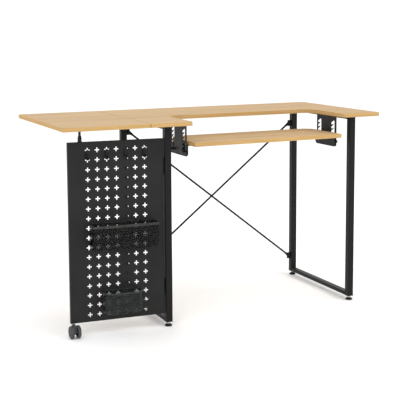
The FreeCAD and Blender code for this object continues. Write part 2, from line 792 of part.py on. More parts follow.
def panel_hinges():
    """Two butt hinges between the front left leg and the panel; the axis runs along Z."""
    third = "(panel_hinge_length / 3)"
    root = "(panel_knuckle_radius + 2 * knuckle_gap)"
    leg_plates, panel_plates, pins, rivets, screws = [], [], [], [], []
    for low in ("panel_hinge_low", "panel_hinge_high"):
        leg_spans = [(low, third), (f"({low} + 2 * {third})", third)]
        panel_spans = [(f"({low} + {third} + knuckle_gap)", f"({third} - 2 * knuckle_gap)")]
        for plates, spans, plate_x in (
                (leg_plates, leg_spans, "(panel_axis_gap - panel_hinge_thickness)"),
                (panel_plates, panel_spans, "(-panel_axis_gap)")):
            solids = [box("panel_hinge_thickness", "panel_leaf_depth", "panel_hinge_length",
                          plate_x, f"-({root} + panel_leaf_depth)", low)]
            bores = []
            for begin, length in spans:
                solids.append(box("panel_hinge_thickness", f"{root}", length, plate_x, f"-{root}", begin))
                solids.append(cylinder("panel_knuckle_radius", length, 0, 0, begin))
                bores.append(cylinder("hinge_pin_radius + hinge_pin_clearance", f"{length} + 2 * overrun",
                                      0, 0, f"{begin} - overrun"))
            plates.append(cut(fuse(*solids), *bores))
        pins.append(cylinder("hinge_pin_radius", "panel_hinge_length", 0, 0, low))
        for share in (0.2, 0.8):
            height = f"({low} + {share} * panel_hinge_length)"
            middle_y = f"(-({root} + panel_leaf_depth / 2))"
            rivets.append(cylinder("rivet_radius", "panel_sheet + rivet_head",
                                   "-(panel_axis_gap + panel_sheet + rivet_head)", middle_y, height, "x"))
            screws.append(cylinder("rivet_radius", "tube_wall + rivet_head", "panel_axis_gap",
                                   middle_y, height, "x"))
    for name, items in (("panel_hinge_leg_plates", leg_plates), ("panel_hinge_pins", pins),
                        ("panel_hinge_leg_screws", screws)):
        item = keep(group(*items), name)
        bind(item, x=PANEL_AXIS_X, y=PANEL_AXIS_Y)
    for name, items in (("panel_hinge_plates", panel_plates), ("panel_hinge_rivets", rivets)):
        in_panel_frame(keep(group(*items), name))


# ---------------------------------------------------------------- pegboard panel

def pegboard_panel():
    """Folded steel sheet: a flat face with cross holes and edges turned back to the rear."""
    body = new_body("pegboard_panel")
    outline = sketch_on(body, "XZ_Plane", "panel_face_offset")
    rectangle(outline, PANEL_END, "panel_bottom", "panel_width", "panel_height")
    add_feature(body, "Pad", outline, "panel_flange_depth", reverse=True)
    upright = runs_along("z")
    round_edges(body, "panel_corner_radius", upright)
    hollow = sketch_on(body, "XZ_Plane", "panel_face_offset - panel_sheet")
    rectangle(hollow, f"{PANEL_END} + panel_sheet", "(panel_bottom + panel_sheet)",
              "(panel_width - 2 * panel_sheet)", "(panel_height - 2 * panel_sheet)")
    cut_feature(body, hollow, "panel_flange_depth + overrun")

    stem_hole = sketch_on(body, "XY_Plane", "panel_bottom + panel_sheet + overrun")
    circle = stem_hole.addGeometry(Part.Circle(Vector(), Vector(0, 0, 1), size("caster_stem_radius")), False)
    fix_point(stem_hole, circle, 3, STEM_X, STEM_Y)
    radius = stem_hole.addConstraint(Sketcher.Constraint("Radius", circle, size("caster_stem_radius")))
    stem_hole.setExpression(f"Constraints[{radius}]", formula("caster_stem_radius + hang_gap"))
    cut_feature(body, stem_hole, "panel_sheet + 2 * overrun")

    first_hole = sketch_on(body, "XZ_Plane", "panel_face_offset + overrun")
    middle_x = PEG_LAST_X
    middle_z = "(panel_bottom + peg_end_margin)"
    long, short = "peg_cross / 2", "peg_slot / 2"
    steps = [(-1, long, -1, short), (-1, short, -1, short), (-1, short, -1, long), (1, short, -1, long),
             (1, short, -1, short), (1, long, -1, short), (1, long, 1, short), (1, short, 1, short),
             (1, short, 1, long), (-1, short, 1, long), (-1, short, 1, short), (-1, long, 1, short)]
    polygon(first_hole, [(f"{middle_x} + {sign_x} * {reach_x}", f"{middle_z} + {sign_z} * {reach_z}")
                         for sign_x, reach_x, sign_z, reach_z in steps])
    hole = cut_feature(body, first_hole, "panel_sheet + 2 * overrun")

    before = body.Shape.Volume
    pattern = body.newObject("PartDesign::MultiTransform", "PegHoles")
    pattern.Originals = [hole]
    rows = body.newObject("PartDesign::LinearPattern", "Rows")
    columns = body.newObject("PartDesign::LinearPattern", "Columns")
    rows.Direction = (first_hole, ["V_Axis"])
    columns.Direction = (first_hole, ["H_Axis"])
    bind(rows, Occurrences="peg_rows", Length="peg_pitch * (peg_rows - 1)")
    bind(columns, Occurrences="peg_columns", Length="peg_pitch * (peg_columns - 1)")
    columns.Reversed = True
    pattern.Transformations = [rows, columns]
    body.Tip = pattern
    doc.recompute()
    one_hole = (size("peg_cross") * 2 - size("peg_slot")) * size("peg_slot") * size("panel_sheet")
    missing = size("peg_rows") * size("peg_columns") - 1
    if abs(before - body.Shape.Volume - one_hole * missing) > one_hole / 2:
        raise RuntimeError("the peg holes are incomplete")
    in_panel_frame(body)


def leaf_rest():
    """Turned steel foot and rubber pad that hold the leaf up, on top of the panel."""
    x = f"({PANEL_END} + rest_from_end)"
    y = f"({PANEL_FACE} + rest_from_face)"
    top = f"({UNDERSIDE} - rest_gap)"
    base = cone("rest_base_radius", "rest_waist_radius", "rest_base_height", x, y, PANEL_TOP)
    neck = cylinder("rest_neck_radius", f"{top} - {PANEL_TOP} - rest_pad_height / 2", x, y, PANEL_TOP)
    in_panel_frame(keep(fuse(base, neck), "leaf_rest_post"))
    pad = cylinder("rest_pad_radius", "rest_pad_height", x, y, f"{top} - rest_pad_height")
    socket = cylinder("rest_neck_radius", "rest_pad_height", x, y, f"{top} - 1.5 * rest_pad_height")
    in_panel_frame(keep(cut(pad, socket), "leaf_rest_pad"))


# ---------------------------------------------------------------- caster

def caster_frame(item):
    """Place a piece drawn about the caster's stem, inside the panel's frame."""
    turn = "panel_rest_angle"
    bind(item,
         x=f"{PANEL_AXIS_X} + {STEM_X} * cos({turn}) - {STEM_Y} * sin({turn})",
         y=f"{PANEL_AXIS_Y} + {STEM_X} * sin({turn}) + {STEM_Y} * cos({turn})",
         turn="caster_angle")


def caster():
    """Twin-wheel caster; the stem is at the origin and the wheels trail towards -Y."""
    axle_y = "(-caster_trail)"
    inner_width = "(wheel_spacing - wheel_width - 2 * caster_wheel_gap)"
    inner_left = f"-{inner_width} / 2"
    shell_radius = "(wheel_radius + caster_shell_gap)"
    web_low = "(wheel_radius + caster_shell_gap + overrun)"
    web = box(inner_width, "(caster_trail + caster_hood_radius)", f"(caster_hood_top - {web_low})",
              inner_left, axle_y, web_low)
    boss = cylinder("caster_boss_radius", inner_width, inner_left, axle_y, "wheel_radius", "x")
    collar = cylinder("caster_hood_radius", "caster_hood_top - wheel_radius", 0, 0, "wheel_radius")
    shell = cylinder(shell_radius, inner_width, inner_left, axle_y, "wheel_radius", "x")
    window = "3 * wheel_radius"
    window_left = "-1.5 * wheel_radius"
    behind = box(window, window, window, window_left, f"{axle_y} - {window} - overrun", window_left)
    below = box(window, window, "wheel_radius", window_left, f"{axle_y} - 2 * wheel_radius",
                "-caster_shell_gap")
    above = box(window, window, "wheel_radius", window_left, f"{axle_y} - 2 * wheel_radius",
                "caster_hood_top")
    bore = cylinder("axle_radius", window, window_left, axle_y, "wheel_radius", "x")
    stem_hole = cylinder("caster_stem_radius", window, 0, 0, shell_radius)
    housing = cut(fuse(web, boss, collar, cut(shell, behind, below, above)), bore, stem_hole)
    stem = cylinder("caster_stem_radius", f"panel_bottom + caster_socket_height - overrun - {shell_radius}",
                    0, 0, shell_radius)
    axle_length = "(wheel_spacing + wheel_width - 2 * caster_hub_cap - overrun)"
    axle = cylinder("axle_radius", axle_length, f"-{axle_length} / 2", axle_y, "wheel_radius", "x")
    socket = cylinder("caster_socket_radius", "caster_socket_height - panel_sheet", 0, 0,
                      "panel_bottom + panel_sheet")
    socket_bore = cylinder("caster_stem_radius + axle_clearance", "2 * caster_socket_height", 0, 0,
                           "panel_bottom - overrun")
    pieces = {"caster_housing": housing, "caster_stem": group(stem), "caster_axle": group(axle),
              "caster_socket": cut(socket, socket_bore)}
    for name, side in (("left", -1), ("right", 1)):
        start = f"({side} * wheel_spacing / 2 - wheel_width / 2)"
        disc = cylinder("wheel_radius", "wheel_width", start, axle_y, "wheel_radius", "x")
        seat = cylinder("wheel_hub_radius", "wheel_width + 2 * overrun", f"{start} - overrun", axle_y,
                        "wheel_radius", "x")
        hub = cylinder("wheel_hub_radius", "wheel_width", start, axle_y, "wheel_radius", "x")
        hub_start = f"{start} - caster_hub_cap" if side > 0 else f"{start} + caster_hub_cap"
        hub_bore = cylinder("axle_radius + axle_clearance", "wheel_width", hub_start, axle_y,
                            "wheel_radius", "x")
        pieces[f"caster_{name}_tread"] = cut(disc, seat)
        pieces[f"caster_{name}_hub"] = cut(hub, hub_bore)
    for name, item in pieces.items():
        caster_frame(keep(item, name))


# ---------------------------------------------------------------- hanging accessories

def hang_tab(x, row, from_y):
    """Neck through a peg hole, with a lip that drops behind the sheet."""
    hole_z = f"(panel_bottom + peg_end_margin + peg_pitch * (peg_rows - {row}))"
    low = f"({hole_z} - peg_cross / 2 + hang_gap)"
    sheet_back = f"({PANEL_FACE} + panel_sheet)"
    lip_y = f"({sheet_back} + hang_gap)"
    neck = box("2 * hang_neck_half_width", f"{lip_y} + hang_lip_thickness - ({from_y})", "hang_neck_height",
               f"{x} - hang_neck_half_width", from_y, low)
    lip = box("2 * hang_neck_half_width", "hang_lip_thickness", "hang_neck_height + hang_lip_drop",
              f"{x} - hang_neck_half_width", lip_y, f"{low} - hang_lip_drop")
    return [neck, lip]


def rounded_block(prefix, inset, low):
    """Block of the cup's outline, smaller all round by inset, with its upright corners rounded."""
    width, depth = f"({prefix}_width - 2 * {inset})", f"({prefix}_depth - 2 * {inset})"
    back_y = f"({PANEL_FACE} - hang_gap - {inset})"
    body = doc.addObject("PartDesign::Body", "Block")
    outline = sketch_on(body, "XY_Plane", low)
    start_x = f"({ACCESSORY_X} + {prefix}_side_shift - {width} / 2)"
    rectangle(outline, start_x, f"({back_y} - {depth})", width, depth)
    add_feature(body, "Pad", outline, f"{prefix}_height")
    round_edges(body, f"{prefix}_corner_radius - {inset}", runs_along("z"))
    return body


def hanging_cup(name, prefix):
    """Open box that hangs on two tabs; prefix names its dimensions."""
    wall = f"{prefix}_wall"
    outside = rounded_block(prefix, "0", f"{prefix}_bottom")
    inside = rounded_block(prefix, wall, f"{prefix}_bottom + {wall}")
    tabs = []
    for side in (-1, 1):
        tabs += hang_tab(f"({ACCESSORY_X} + {side} * {prefix}_tab_span / 2)", f"{prefix}_row",
                         f"({PANEL_FACE} - hang_gap - {wall} / 2)")
    in_panel_frame(keep(fuse(cut(outside, inside), *tabs), name))


def hook(number, column):
    """Hook with a back plate over two holes and a round arm that turns up."""
    x = f"({PEG_LAST_X} - peg_pitch * (peg_columns - {column}))"
    top_hole = "(panel_bottom + peg_end_margin + peg_pitch * (peg_rows - 1))"
    plate_front = f"({PANEL_FACE} - hang_gap - hook_plate_thickness)"
    half = "hook_plate_width / 2"
    straight = "(hook_plate_height - hook_plate_width)"
    middle_z = f"({top_hole} - peg_pitch / 2)"
    low_z = f"({middle_z} - {straight} / 2)"
    plate = [box("hook_plate_width", "hook_plate_thickness", straight, f"{x} - {half}", plate_front, low_z)]
    for end_z in (low_z, f"{low_z} + {straight}"):
        plate.append(cylinder(half, "hook_plate_thickness", x, plate_front, end_z, "y"))
    arm_z = f"({low_z} + hook_arm_rise)"
    arm_end = f"({plate_front} - hook_reach)"
    arm = cylinder("hook_wire_radius", "hook_reach + overrun", x, arm_end, arm_z, "y")
    bend = doc.addObject("Part::Torus", "Bend")
    bend.Angle3 = 90
    bend.Placement.Rotation = Rotation(Vector(0, -1, 0), Vector(0, 0, -1), Vector(1, 0, 0), "XYZ")
    bind(bend, Radius1="hook_bend_radius", Radius2="hook_wire_radius",
         x=x, y=arm_end, z=f"{arm_z} + hook_bend_radius")
    tip_y = f"({arm_end} - hook_bend_radius)"
    tip_z = f"({arm_z} + hook_bend_radius)"
    tip = cylinder("hook_wire_radius", "hook_tip_height", x, tip_y, tip_z)
    ball = sphere("hook_ball_radius", x, tip_y, f"{tip_z} + hook_tip_height")
    tabs = hang_tab(x, 1, f"{plate_front} + overrun")
    piece = fuse(*plate, arm, bend, tip, ball, *tabs)
    in_panel_frame(keep(piece, f"hook_{number}"))


# ---------------------------------------------------------------- assembly

main_top()
side_leaf()
side_frames()
for end, leg_y in (("front", LEG_FRONT_Y), ("rear", LEG_REAR_Y)):
    for side, leg_x in (("left", LEG_LEFT_X), ("right", LEG_RIGHT_X)):
        levelling_foot(f"{end}_{side}", leg_x, leg_y)
cross_brace()
lift_bracket()
frame_screws()
platform_board()
platform_hardware()
leaf_hinges()
panel_hinges()
pegboard_panel()
leaf_rest()
caster()
hanging_cup("storage_tray", "tray")
hanging_cup("storage_bin", "bin")
for number, column in enumerate((1, 3, 5, 7), start=1):
    hook(number, column)
doc.recompute()

for item in doc.Objects:
    if "Invalid" in item.State or "Error" in item.State:
        raise RuntimeError(f"{item.Label} did not recompute: {item.State}")
os.makedirs("parts", exist_ok=True)
for name, item in nodes.items():
    shape = item.Shape
    if shape.isNull() or not shape.isValid() or not shape.Solids:
        raise RuntimeError(f"{name} has no valid solid")
for name, item in nodes.items():
    item.Shape.exportStep(f"parts/{name}.step")
print(len(nodes), "sub-parts written")
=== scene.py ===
import json
import math

import bmesh
import bpy
from mathutils import Matrix, Vector


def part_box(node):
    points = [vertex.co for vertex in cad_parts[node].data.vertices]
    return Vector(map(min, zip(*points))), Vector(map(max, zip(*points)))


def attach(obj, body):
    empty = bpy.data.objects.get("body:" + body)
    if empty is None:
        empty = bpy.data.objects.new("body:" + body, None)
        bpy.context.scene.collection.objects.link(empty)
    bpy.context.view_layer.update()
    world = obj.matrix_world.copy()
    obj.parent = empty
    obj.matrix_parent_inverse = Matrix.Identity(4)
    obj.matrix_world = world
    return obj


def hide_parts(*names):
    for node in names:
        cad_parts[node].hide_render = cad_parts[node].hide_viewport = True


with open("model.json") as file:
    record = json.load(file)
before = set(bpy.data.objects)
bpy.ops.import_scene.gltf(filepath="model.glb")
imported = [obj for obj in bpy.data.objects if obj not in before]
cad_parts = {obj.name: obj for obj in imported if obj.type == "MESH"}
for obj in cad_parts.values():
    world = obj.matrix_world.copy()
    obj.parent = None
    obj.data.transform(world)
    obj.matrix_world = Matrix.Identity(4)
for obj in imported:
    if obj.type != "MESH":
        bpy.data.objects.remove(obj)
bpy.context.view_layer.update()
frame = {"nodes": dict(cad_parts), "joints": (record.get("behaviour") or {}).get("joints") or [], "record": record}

MM = 0.001
SAME_POINT = 0.001 * MM             # points nearer than this are one point
SHEET = 1.5 * MM                    # the panel's steel
PEG_PITCH = 35 * MM                 # between peg holes, both ways
PEG_COLUMNS, PEG_ROWS = 7, 18
PEG_LOW_MARGIN = 26 * MM            # the panel's lower edge to its lowest row
PEG_SIDE_MARGIN = 71 * MM           # the panel's hinge side to its nearest column
CROSS_LONG, CROSS_SHORT = 8.25 * MM, 2.1 * MM       # half a cross, along and across its arm
HANG_GAP = 0.4 * MM                 # between the panel and what hangs on it
AXLE_BORE = 3.05 * MM
STEM_RADIUS, STEM_BORE = 4 * MM, 4.05 * MM
JOINTS = {joint["name"]: joint for joint in frame["joints"]}


# ---------------- places taken from the frame

def turned_place(joint_name, degrees):
    """Frame that stands on a joint's axis and is turned about it."""
    joint = JOINTS[joint_name]
    x, y, _ = joint["pos_m"]
    return Matrix.Translation((x, y, 0)) @ Matrix.Rotation(math.radians(degrees), 4, "Z")


WHEEL_AXIS = JOINTS["caster_left_wheel_spin"]["axis"]
PANEL = turned_place("panel_swing", -JOINTS["panel_swing"]["range_deg"][1])
CASTER = turned_place("caster_swivel", math.degrees(math.atan2(WHEEL_AXIS[1], WHEEL_AXIS[0])))
WORLD = Matrix.Identity(4)


def box_in(node, place):
    """Lowest and highest corner of a CAD node, measured in a turned frame."""
    back = place.inverted()
    points = [back @ vertex.co for vertex in frame["nodes"][node].data.vertices]
    low = Vector([min(point[k] for point in points) for k in range(3)])
    high = Vector([max(point[k] for point in points) for k in range(3)])
    return low, high


def solids(node, place=WORLD):
    """Corners of each separate solid of a CAD node."""
    bm = bmesh.new()
    bm.from_mesh(frame["nodes"][node].data)
    bmesh.ops.remove_doubles(bm, verts=bm.verts, dist=SAME_POINT)
    bm.transform(place.inverted())
    waiting = set(bm.verts)
    boxes = []
    while waiting:
        first = waiting.pop()
        group, stack = [first], [first]
        while stack:
            for edge in stack.pop().link_edges:
                for vertex in edge.verts:
                    if vertex in waiting:
                        waiting.remove(vertex)
                        group.append(vertex)
                        stack.append(vertex)
        boxes.append((Vector([min(v.co[k] for v in group) for k in range(3)]),
                      Vector([max(v.co[k] for v in group) for k in range(3)])))
    bm.free()
    return sorted(boxes, key=lambda pair: tuple(round(number, 5) for number in pair[0]))


def top_outline(node):
    """Corners of a board's upper face, in order round its edge."""
    bm = bmesh.new()
    bm.from_mesh(frame["nodes"][node].data)
    bmesh.ops.remove_doubles(bm, verts=bm.verts, dist=SAME_POINT)
    bm.normal_update()
    rim = [edge for edge in bm.edges
           if sorted(face.normal.z > 0.9 for face in edge.link_faces) == [False, True]]
    links = {}
    for edge in rim:
        for vertex in edge.verts:
            links.setdefault(vertex, []).append(edge)
    vertex, edge = rim[0].verts[0], rim[0]
    corners = []
    for _ in rim:
        corners.append((vertex.co.x, vertex.co.y))
        vertex = edge.other_vert(vertex)
        edge = next(other for other in links[vertex] if other is not edge)
    bm.free()
    area = sum(a[0] * b[1] - b[0] * a[1] for a, b in zip(corners, corners[1:] + corners[:1]))
    return corners if area > 0 else corners[::-1]


# ---------------- materials

def new_material(name, roughness, **sockets):
    """Principled material; the sockets are set as plain values."""
    mat = bpy.data.materials.new(name)
    mat.use_nodes = True
    shader = mat.node_tree.nodes["Principled BSDF"]
    shader.inputs["Roughness"].default_value = roughness
    for socket, value in sockets.items():
        shader.inputs[socket.replace("_", " ")].default_value = value
    return mat


def add(mat, kind, **settings):
    """New node; settings name its properties or, where it has one, its input sockets."""
    item = mat.node_tree.nodes.new(kind)
    for name, value in settings.items():
        if hasattr(item, name):
            setattr(item, name, value)
        else:
            item.inputs[name.replace("_", " ")].default_value = value
    return item


def link(mat, source, target):
    mat.node_tree.links.new(source, target)


def shader_of(mat):
    return mat.node_tree.nodes["Principled BSDF"]


def coordinates(mat, scale):
    """Object coordinates, stretched."""
    place = add(mat, "ShaderNodeTexCoord")
    stretch = add(mat, "ShaderNodeMapping")
    stretch.inputs["Scale"].default_value = scale
    link(mat, place.outputs["Object"], stretch.inputs["Vector"])
    return stretch.outputs["Vector"]


def noise_at(mat, vector, scale=1.0, detail=3.0, roughness=0.5, distortion=0.0):
    item = add(mat, "ShaderNodeTexNoise", Scale=scale, Detail=detail, Roughness=roughness,
               Distortion=distortion)
    link(mat, vector, item.inputs["Vector"])
    return item.outputs["Fac"]


def ramp(mat, factor, *stops):
    """Colour ramp; each stop is (position, colour)."""
    item = add(mat, "ShaderNodeValToRGB")
    points = item.color_ramp.elements
    while len(points) < len(stops):
        points.new(1.0)
    for point, (position, colour) in zip(points, stops):
        point.position = position
        point.color = (*colour, 1.0)
    link(mat, factor, item.inputs["Fac"])
    return item.outputs["Color"]


def mix(mat, kind, factor, first, second):
    """Colour mix; factor, first and second are sockets or plain values."""
    item = add(mat, "ShaderNodeMix", data_type="RGBA", blend_type=kind)
    for socket, value in ((item.inputs[0], factor), (item.inputs[6], first), (item.inputs[7], second)):
        if isinstance(value, bpy.types.NodeSocket):
            link(mat, value, socket)
        else:
            socket.default_value = value
    return item.outputs[2]


def map_range(mat, value, low, high, from_low=0.3, from_high=0.7):
    item = add(mat, "ShaderNodeMapRange")
    for socket, number in zip(item.inputs[1:5], (from_low, from_high, low, high)):
        socket.default_value = number
    link(mat, value, item.inputs[0])
    return item.outputs[0]


def bump(mat, height, strength, distance):
    item = add(mat, "ShaderNodeBump", Strength=strength, Distance=distance)
    link(mat, height, item.inputs["Height"])
    link(mat, item.outputs["Normal"], shader_of(mat).inputs["Normal"])


def wood(name, tones, edge):
    """Printed oak: fine straight grain, slow bands of tone and short pores.

    The grain runs along X; on an edge band it runs along the edge."""
    mat = new_material(name, 0.6, Specular_IOR_Level=0.12)
    place = add(mat, "ShaderNodeTexCoord").outputs["Object"]
    if edge:
        parts = add(mat, "ShaderNodeSeparateXYZ")
        link(mat, place, parts.inputs[0])
        along = add(mat, "ShaderNodeMath", operation="ADD")
        link(mat, parts.outputs["X"], along.inputs[0])
        link(mat, parts.outputs["Y"], along.inputs[1])
        joined = add(mat, "ShaderNodeCombineXYZ")
        link(mat, along.outputs[0], joined.inputs["X"])
        link(mat, parts.outputs["Z"], joined.inputs["Y"])
        place = joined.outputs[0]

    def stretched(scale, **settings):
        item = add(mat, "ShaderNodeMapping")
        item.inputs["Scale"].default_value = scale
        link(mat, place, item.inputs["Vector"])
        return noise_at(mat, item.outputs["Vector"], **settings)

    bands = stretched((1.1, 16, 16), detail=4, roughness=0.6, distortion=0.7)
    grain = stretched((5, 330, 330), detail=5, roughness=0.65)
    fine = stretched((16, 1200, 1200), detail=2)
    pores = stretched((38, 900, 900), detail=1)
    light, middle, dark, pore = tones
    colour = ramp(mat, grain, (0.30, dark), (0.52, middle), (0.72, light))
    colour = mix(mat, "MULTIPLY", 0.55, colour, ramp(mat, bands, (0.3, (0.80, 0.76, 0.70)),
                                                     (0.5, (1.0, 1.0, 1.0)), (0.72, (1.06, 1.04, 1.0))))
    colour = mix(mat, "MULTIPLY", 0.35, colour,
                 ramp(mat, fine, (0.35, (0.86, 0.84, 0.80)), (0.6, (1, 1, 1))))
    pore_mask = map_range(mat, pores, 0.0, 0.5, 0.66, 0.74)
    colour = mix(mat, "MIX", pore_mask, colour, (*pore, 1.0))
    link(mat, colour, shader_of(mat).inputs["Base Color"])
    link(mat, map_range(mat, grain, 0.68, 0.54), shader_of(mat).inputs["Roughness"])
    bump(mat, grain, 0.12, 0.1 * MM)
    return mat


def powder_coat(name, colour, roughness=0.42, specular=0.16):
    """Satin powder coat: fine orange peel, faint cloudiness."""
    mat = new_material(name, roughness, Specular_IOR_Level=specular)
    peel = noise_at(mat, coordinates(mat, (1400,) * 3), detail=2)
    cloud = noise_at(mat, coordinates(mat, (9,) * 3), detail=3)
    lighter = tuple(channel * 1.35 for channel in colour)
    tone = ramp(mat, cloud, (0.3, colour), (0.7, lighter))
    speck = ramp(mat, peel, (0.3, (0.75,) * 3), (0.7, (1.2,) * 3))
    link(mat, mix(mat, "MULTIPLY", 0.6, tone, speck), shader_of(mat).inputs["Base Color"])
    link(mat, map_range(mat, peel, roughness - 0.06, roughness + 0.08), shader_of(mat).inputs["Roughness"])
    bump(mat, peel, 0.25, 0.12 * MM)
    return mat


def plated(name, colour, roughness, metallic=1.0):
    """Plated steel with fine brushing and slight tarnish."""
    mat = new_material(name, roughness, Metallic=metallic)
    brushing = noise_at(mat, coordinates(mat, (300, 300, 2600)), detail=3)
    tarnish = noise_at(mat, coordinates(mat, (60,) * 3), detail=4)
    darker = tuple(channel * 0.72 for channel in colour)
    link(mat, ramp(mat, tarnish, (0.35, darker), (0.62, colour)), shader_of(mat).inputs["Base Color"])
    link(mat, map_range(mat, brushing, roughness - 0.08, roughness + 0.12),
         shader_of(mat).inputs["Roughness"])
    bump(mat, brushing, 0.15, 0.03 * MM)
    return mat


def moulded(name, colour, roughness, grain=700.0):
    """Moulded plastic with a fine spark-eroded texture."""
    mat = new_material(name, roughness, Specular_IOR_Level=0.25)
    texture = noise_at(mat, coordinates(mat, (grain,) * 3), detail=3)
    slow = noise_at(mat, coordinates(mat, (35,) * 3), detail=3)
    lighter = tuple(channel * 1.3 for channel in colour)
    link(mat, ramp(mat, slow, (0.3, colour), (0.7, lighter)), shader_of(mat).inputs["Base Color"])
    link(mat, map_range(mat, texture, roughness - 0.07, roughness + 0.07),
         shader_of(mat).inputs["Roughness"])
    bump(mat, texture, 0.2, 0.08 * MM)
    return mat


def smoky(name, colour, alpha):
    """Tinted see-through plastic with faint flow lines."""
    mat = new_material(name, 0.16, Specular_IOR_Level=0.14, Alpha=alpha)
    flow = noise_at(mat, coordinates(mat, (25, 25, 60)), detail=3)
    haze = noise_at(mat, coordinates(mat, (500,) * 3), detail=2)
    lighter = tuple(channel * 1.5 for channel in colour)
    link(mat, ramp(mat, flow, (0.35, colour), (0.65, lighter)), shader_of(mat).inputs["Base Color"])
    link(mat, map_range(mat, haze, 0.08, 0.18), shader_of(mat).inputs["Roughness"])
    bump(mat, flow, 0.06, 0.3 * MM)
    return mat


BLACK = (0.0065, 0.0065, 0.0064)
OAK_FACE = wood("oak_face", ((0.57, 0.40, 0.222), (0.50, 0.343, 0.18), (0.42, 0.276, 0.135),
                             (0.29, 0.172, 0.077)), edge=False)
OAK_EDGE = wood("oak_edge", ((0.62, 0.42, 0.19), (0.54, 0.345, 0.14), (0.44, 0.265, 0.10),
                             (0.31, 0.17, 0.06)), edge=True)
COAT = powder_coat("black_coat", BLACK)
PANEL_COAT = powder_coat("panel_coat", (0.014, 0.014, 0.014), roughness=0.5)
HOOK_COAT = powder_coat("hook_coat", (0.005, 0.005, 0.005), roughness=0.3, specular=0.25)
BLACK_PLATE = plated("black_plate", (0.02, 0.02, 0.021), 0.36, metallic=0.7)
ZINC = plated("zinc", (0.62, 0.62, 0.60), 0.30)
PLASTIC = moulded("black_plastic", (0.010, 0.010, 0.0105), 0.45)
CASTER_PLASTIC = moulded("caster_plastic", (0.042, 0.046, 0.055), 0.38)
TREAD = moulded("caster_tread", (0.05, 0.051, 0.054), 0.55, grain=420.0)
RUBBER = moulded("rubber", (0.011, 0.011, 0.011), 0.7, grain=900.0)
TRAY_PLASTIC = smoky("tray_plastic", (0.0085, 0.0085, 0.0083), 0.5)
# tray rim: the thickened rim is less see-through, and its lighter tone is a painted highlight along the rim
TRAY_RIM_PAINTED_HIGHLIGHT = smoky("tray_rim_painted_highlight", (0.032, 0.032, 0.031), 0.92)
BIN_PLASTIC = smoky("bin_plastic", (0.019, 0.0225, 0.021), 0.55)
# bin rim: the thickened rim is less see-through, and its lighter tone is a painted highlight along the rim
BIN_RIM_PAINTED_HIGHLIGHT = smoky("bin_rim_painted_highlight", (0.030, 0.035, 0.033), 0.95)


# ---------------- mesh helpers

def finish(bm, name, body, mats, place=WORLD, stands_for=(), angle=50):
    """Turn a mesh drawn in a place's frame into a piece that rides on a body."""
    bm.transform(place)
    bmesh.ops.recalc_face_normals(bm, faces=bm.faces)
    mesh = bpy.data.meshes.new(name)
    bm.to_mesh(mesh)
    bm.free()
    mesh.polygons.foreach_set("use_smooth", [True] * len(mesh.polygons))
    mesh.set_sharp_from_angle(angle=math.radians(angle))
    piece = bpy.data.objects.new(name, mesh)
    bpy.context.scene.collection.objects.link(piece)
    for mat in mats if isinstance(mats, (list, tuple)) else [mats]:
        mesh.materials.append(mat)
    normals = piece.modifiers.new("flat faces", "WEIGHTED_NORMAL")
    normals.keep_sharp = True
    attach(piece, body)
    if stands_for:
        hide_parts(*([stands_for] if isinstance(stands_for, str) else stands_for))
    return piece


def join(target, source):
    """Add one mesh to another."""
    scrap = bpy.data.meshes.new("scrap")
    source.to_mesh(scrap)
    source.free()
    target.from_mesh(scrap)
    bpy.data.meshes.remove(scrap)
    return target


def prism(outline, low, high, soft=0.5 * MM, segments=2):
    """Upright block from an outline, with its upper and lower edges rounded."""
    bm = bmesh.new()
    floor = [bm.verts.new((x, y, low)) for x, y in outline]
    roof = [bm.verts.new((x, y, high)) for x, y in outline]
    bm.faces.new(floor[::-1])
    bm.faces.new(roof)
    count = len(outline)
    rims = []
    for k in range(count):
        after = (k + 1) % count
        bm.faces.new((floor[k], floor[after], roof[after], roof[k]))
        rims += [bm.edges.get((floor[k], floor[after])), bm.edges.get((roof[k], roof[after]))]
    if soft:
        bmesh.ops.bevel(bm, geom=rims, offset=soft, segments=segments, affect="EDGES", profile=0.5,
                        clamp_overlap=True)
    return bm


def block(low, high, soft=0.4 * MM):
    """Block with every edge rounded."""
    bm = bmesh.new()
    size = Vector(high) - Vector(low)
    middle = (Vector(high) + Vector(low)) / 2
    bmesh.ops.create_cube(bm, size=1, matrix=Matrix.Translation(middle) @ Matrix.Diagonal((*size, 1)))
    bmesh.ops.bevel(bm, geom=list(bm.edges), offset=soft, segments=2, affect="EDGES", profile=0.5,
                    clamp_overlap=True)
    return bm


def loft(rings):
    """Skin over rings of equal point counts, closed at both ends."""
    bm = bmesh.new()
    rows = [[bm.verts.new(point) for point in ring] for ring in rings]
    count = len(rows[0])
    for lower, upper in zip(rows, rows[1:]):
        for k in range(count):
            after = (k + 1) % count
            bm.faces.new((lower[k], lower[after], upper[after], upper[k]))
    bm.faces.new(rows[0][::-1])
    bm.faces.new(rows[-1])
    return bm


def lathe(profile, steps=48):
    """Solid of revolution about Z; the profile is (radius, height) pairs."""
    bm = bmesh.new()
    rows = []
    for radius, height in profile:
        if radius < SAME_POINT:
            rows.append([bm.verts.new((0, 0, height))])
            continue
        rows.append([bm.verts.new((radius * math.cos(math.tau * k / steps),
                                   radius * math.sin(math.tau * k / steps), height))
                     for k in range(steps)])
    for lower, upper in zip(rows, rows[1:]):
        for k in range(steps):
            after = (k + 1) % steps
            if len(lower) == 1 and len(upper) == 1:
                continue
            if len(lower) == 1:
                bm.faces.new((lower[0], upper[after], upper[k]))
            elif len(upper) == 1:
                bm.faces.new((lower[k], lower[after], upper[0]))
            else:
                bm.faces.new((lower[k], lower[after], upper[after], upper[k]))
    return bm


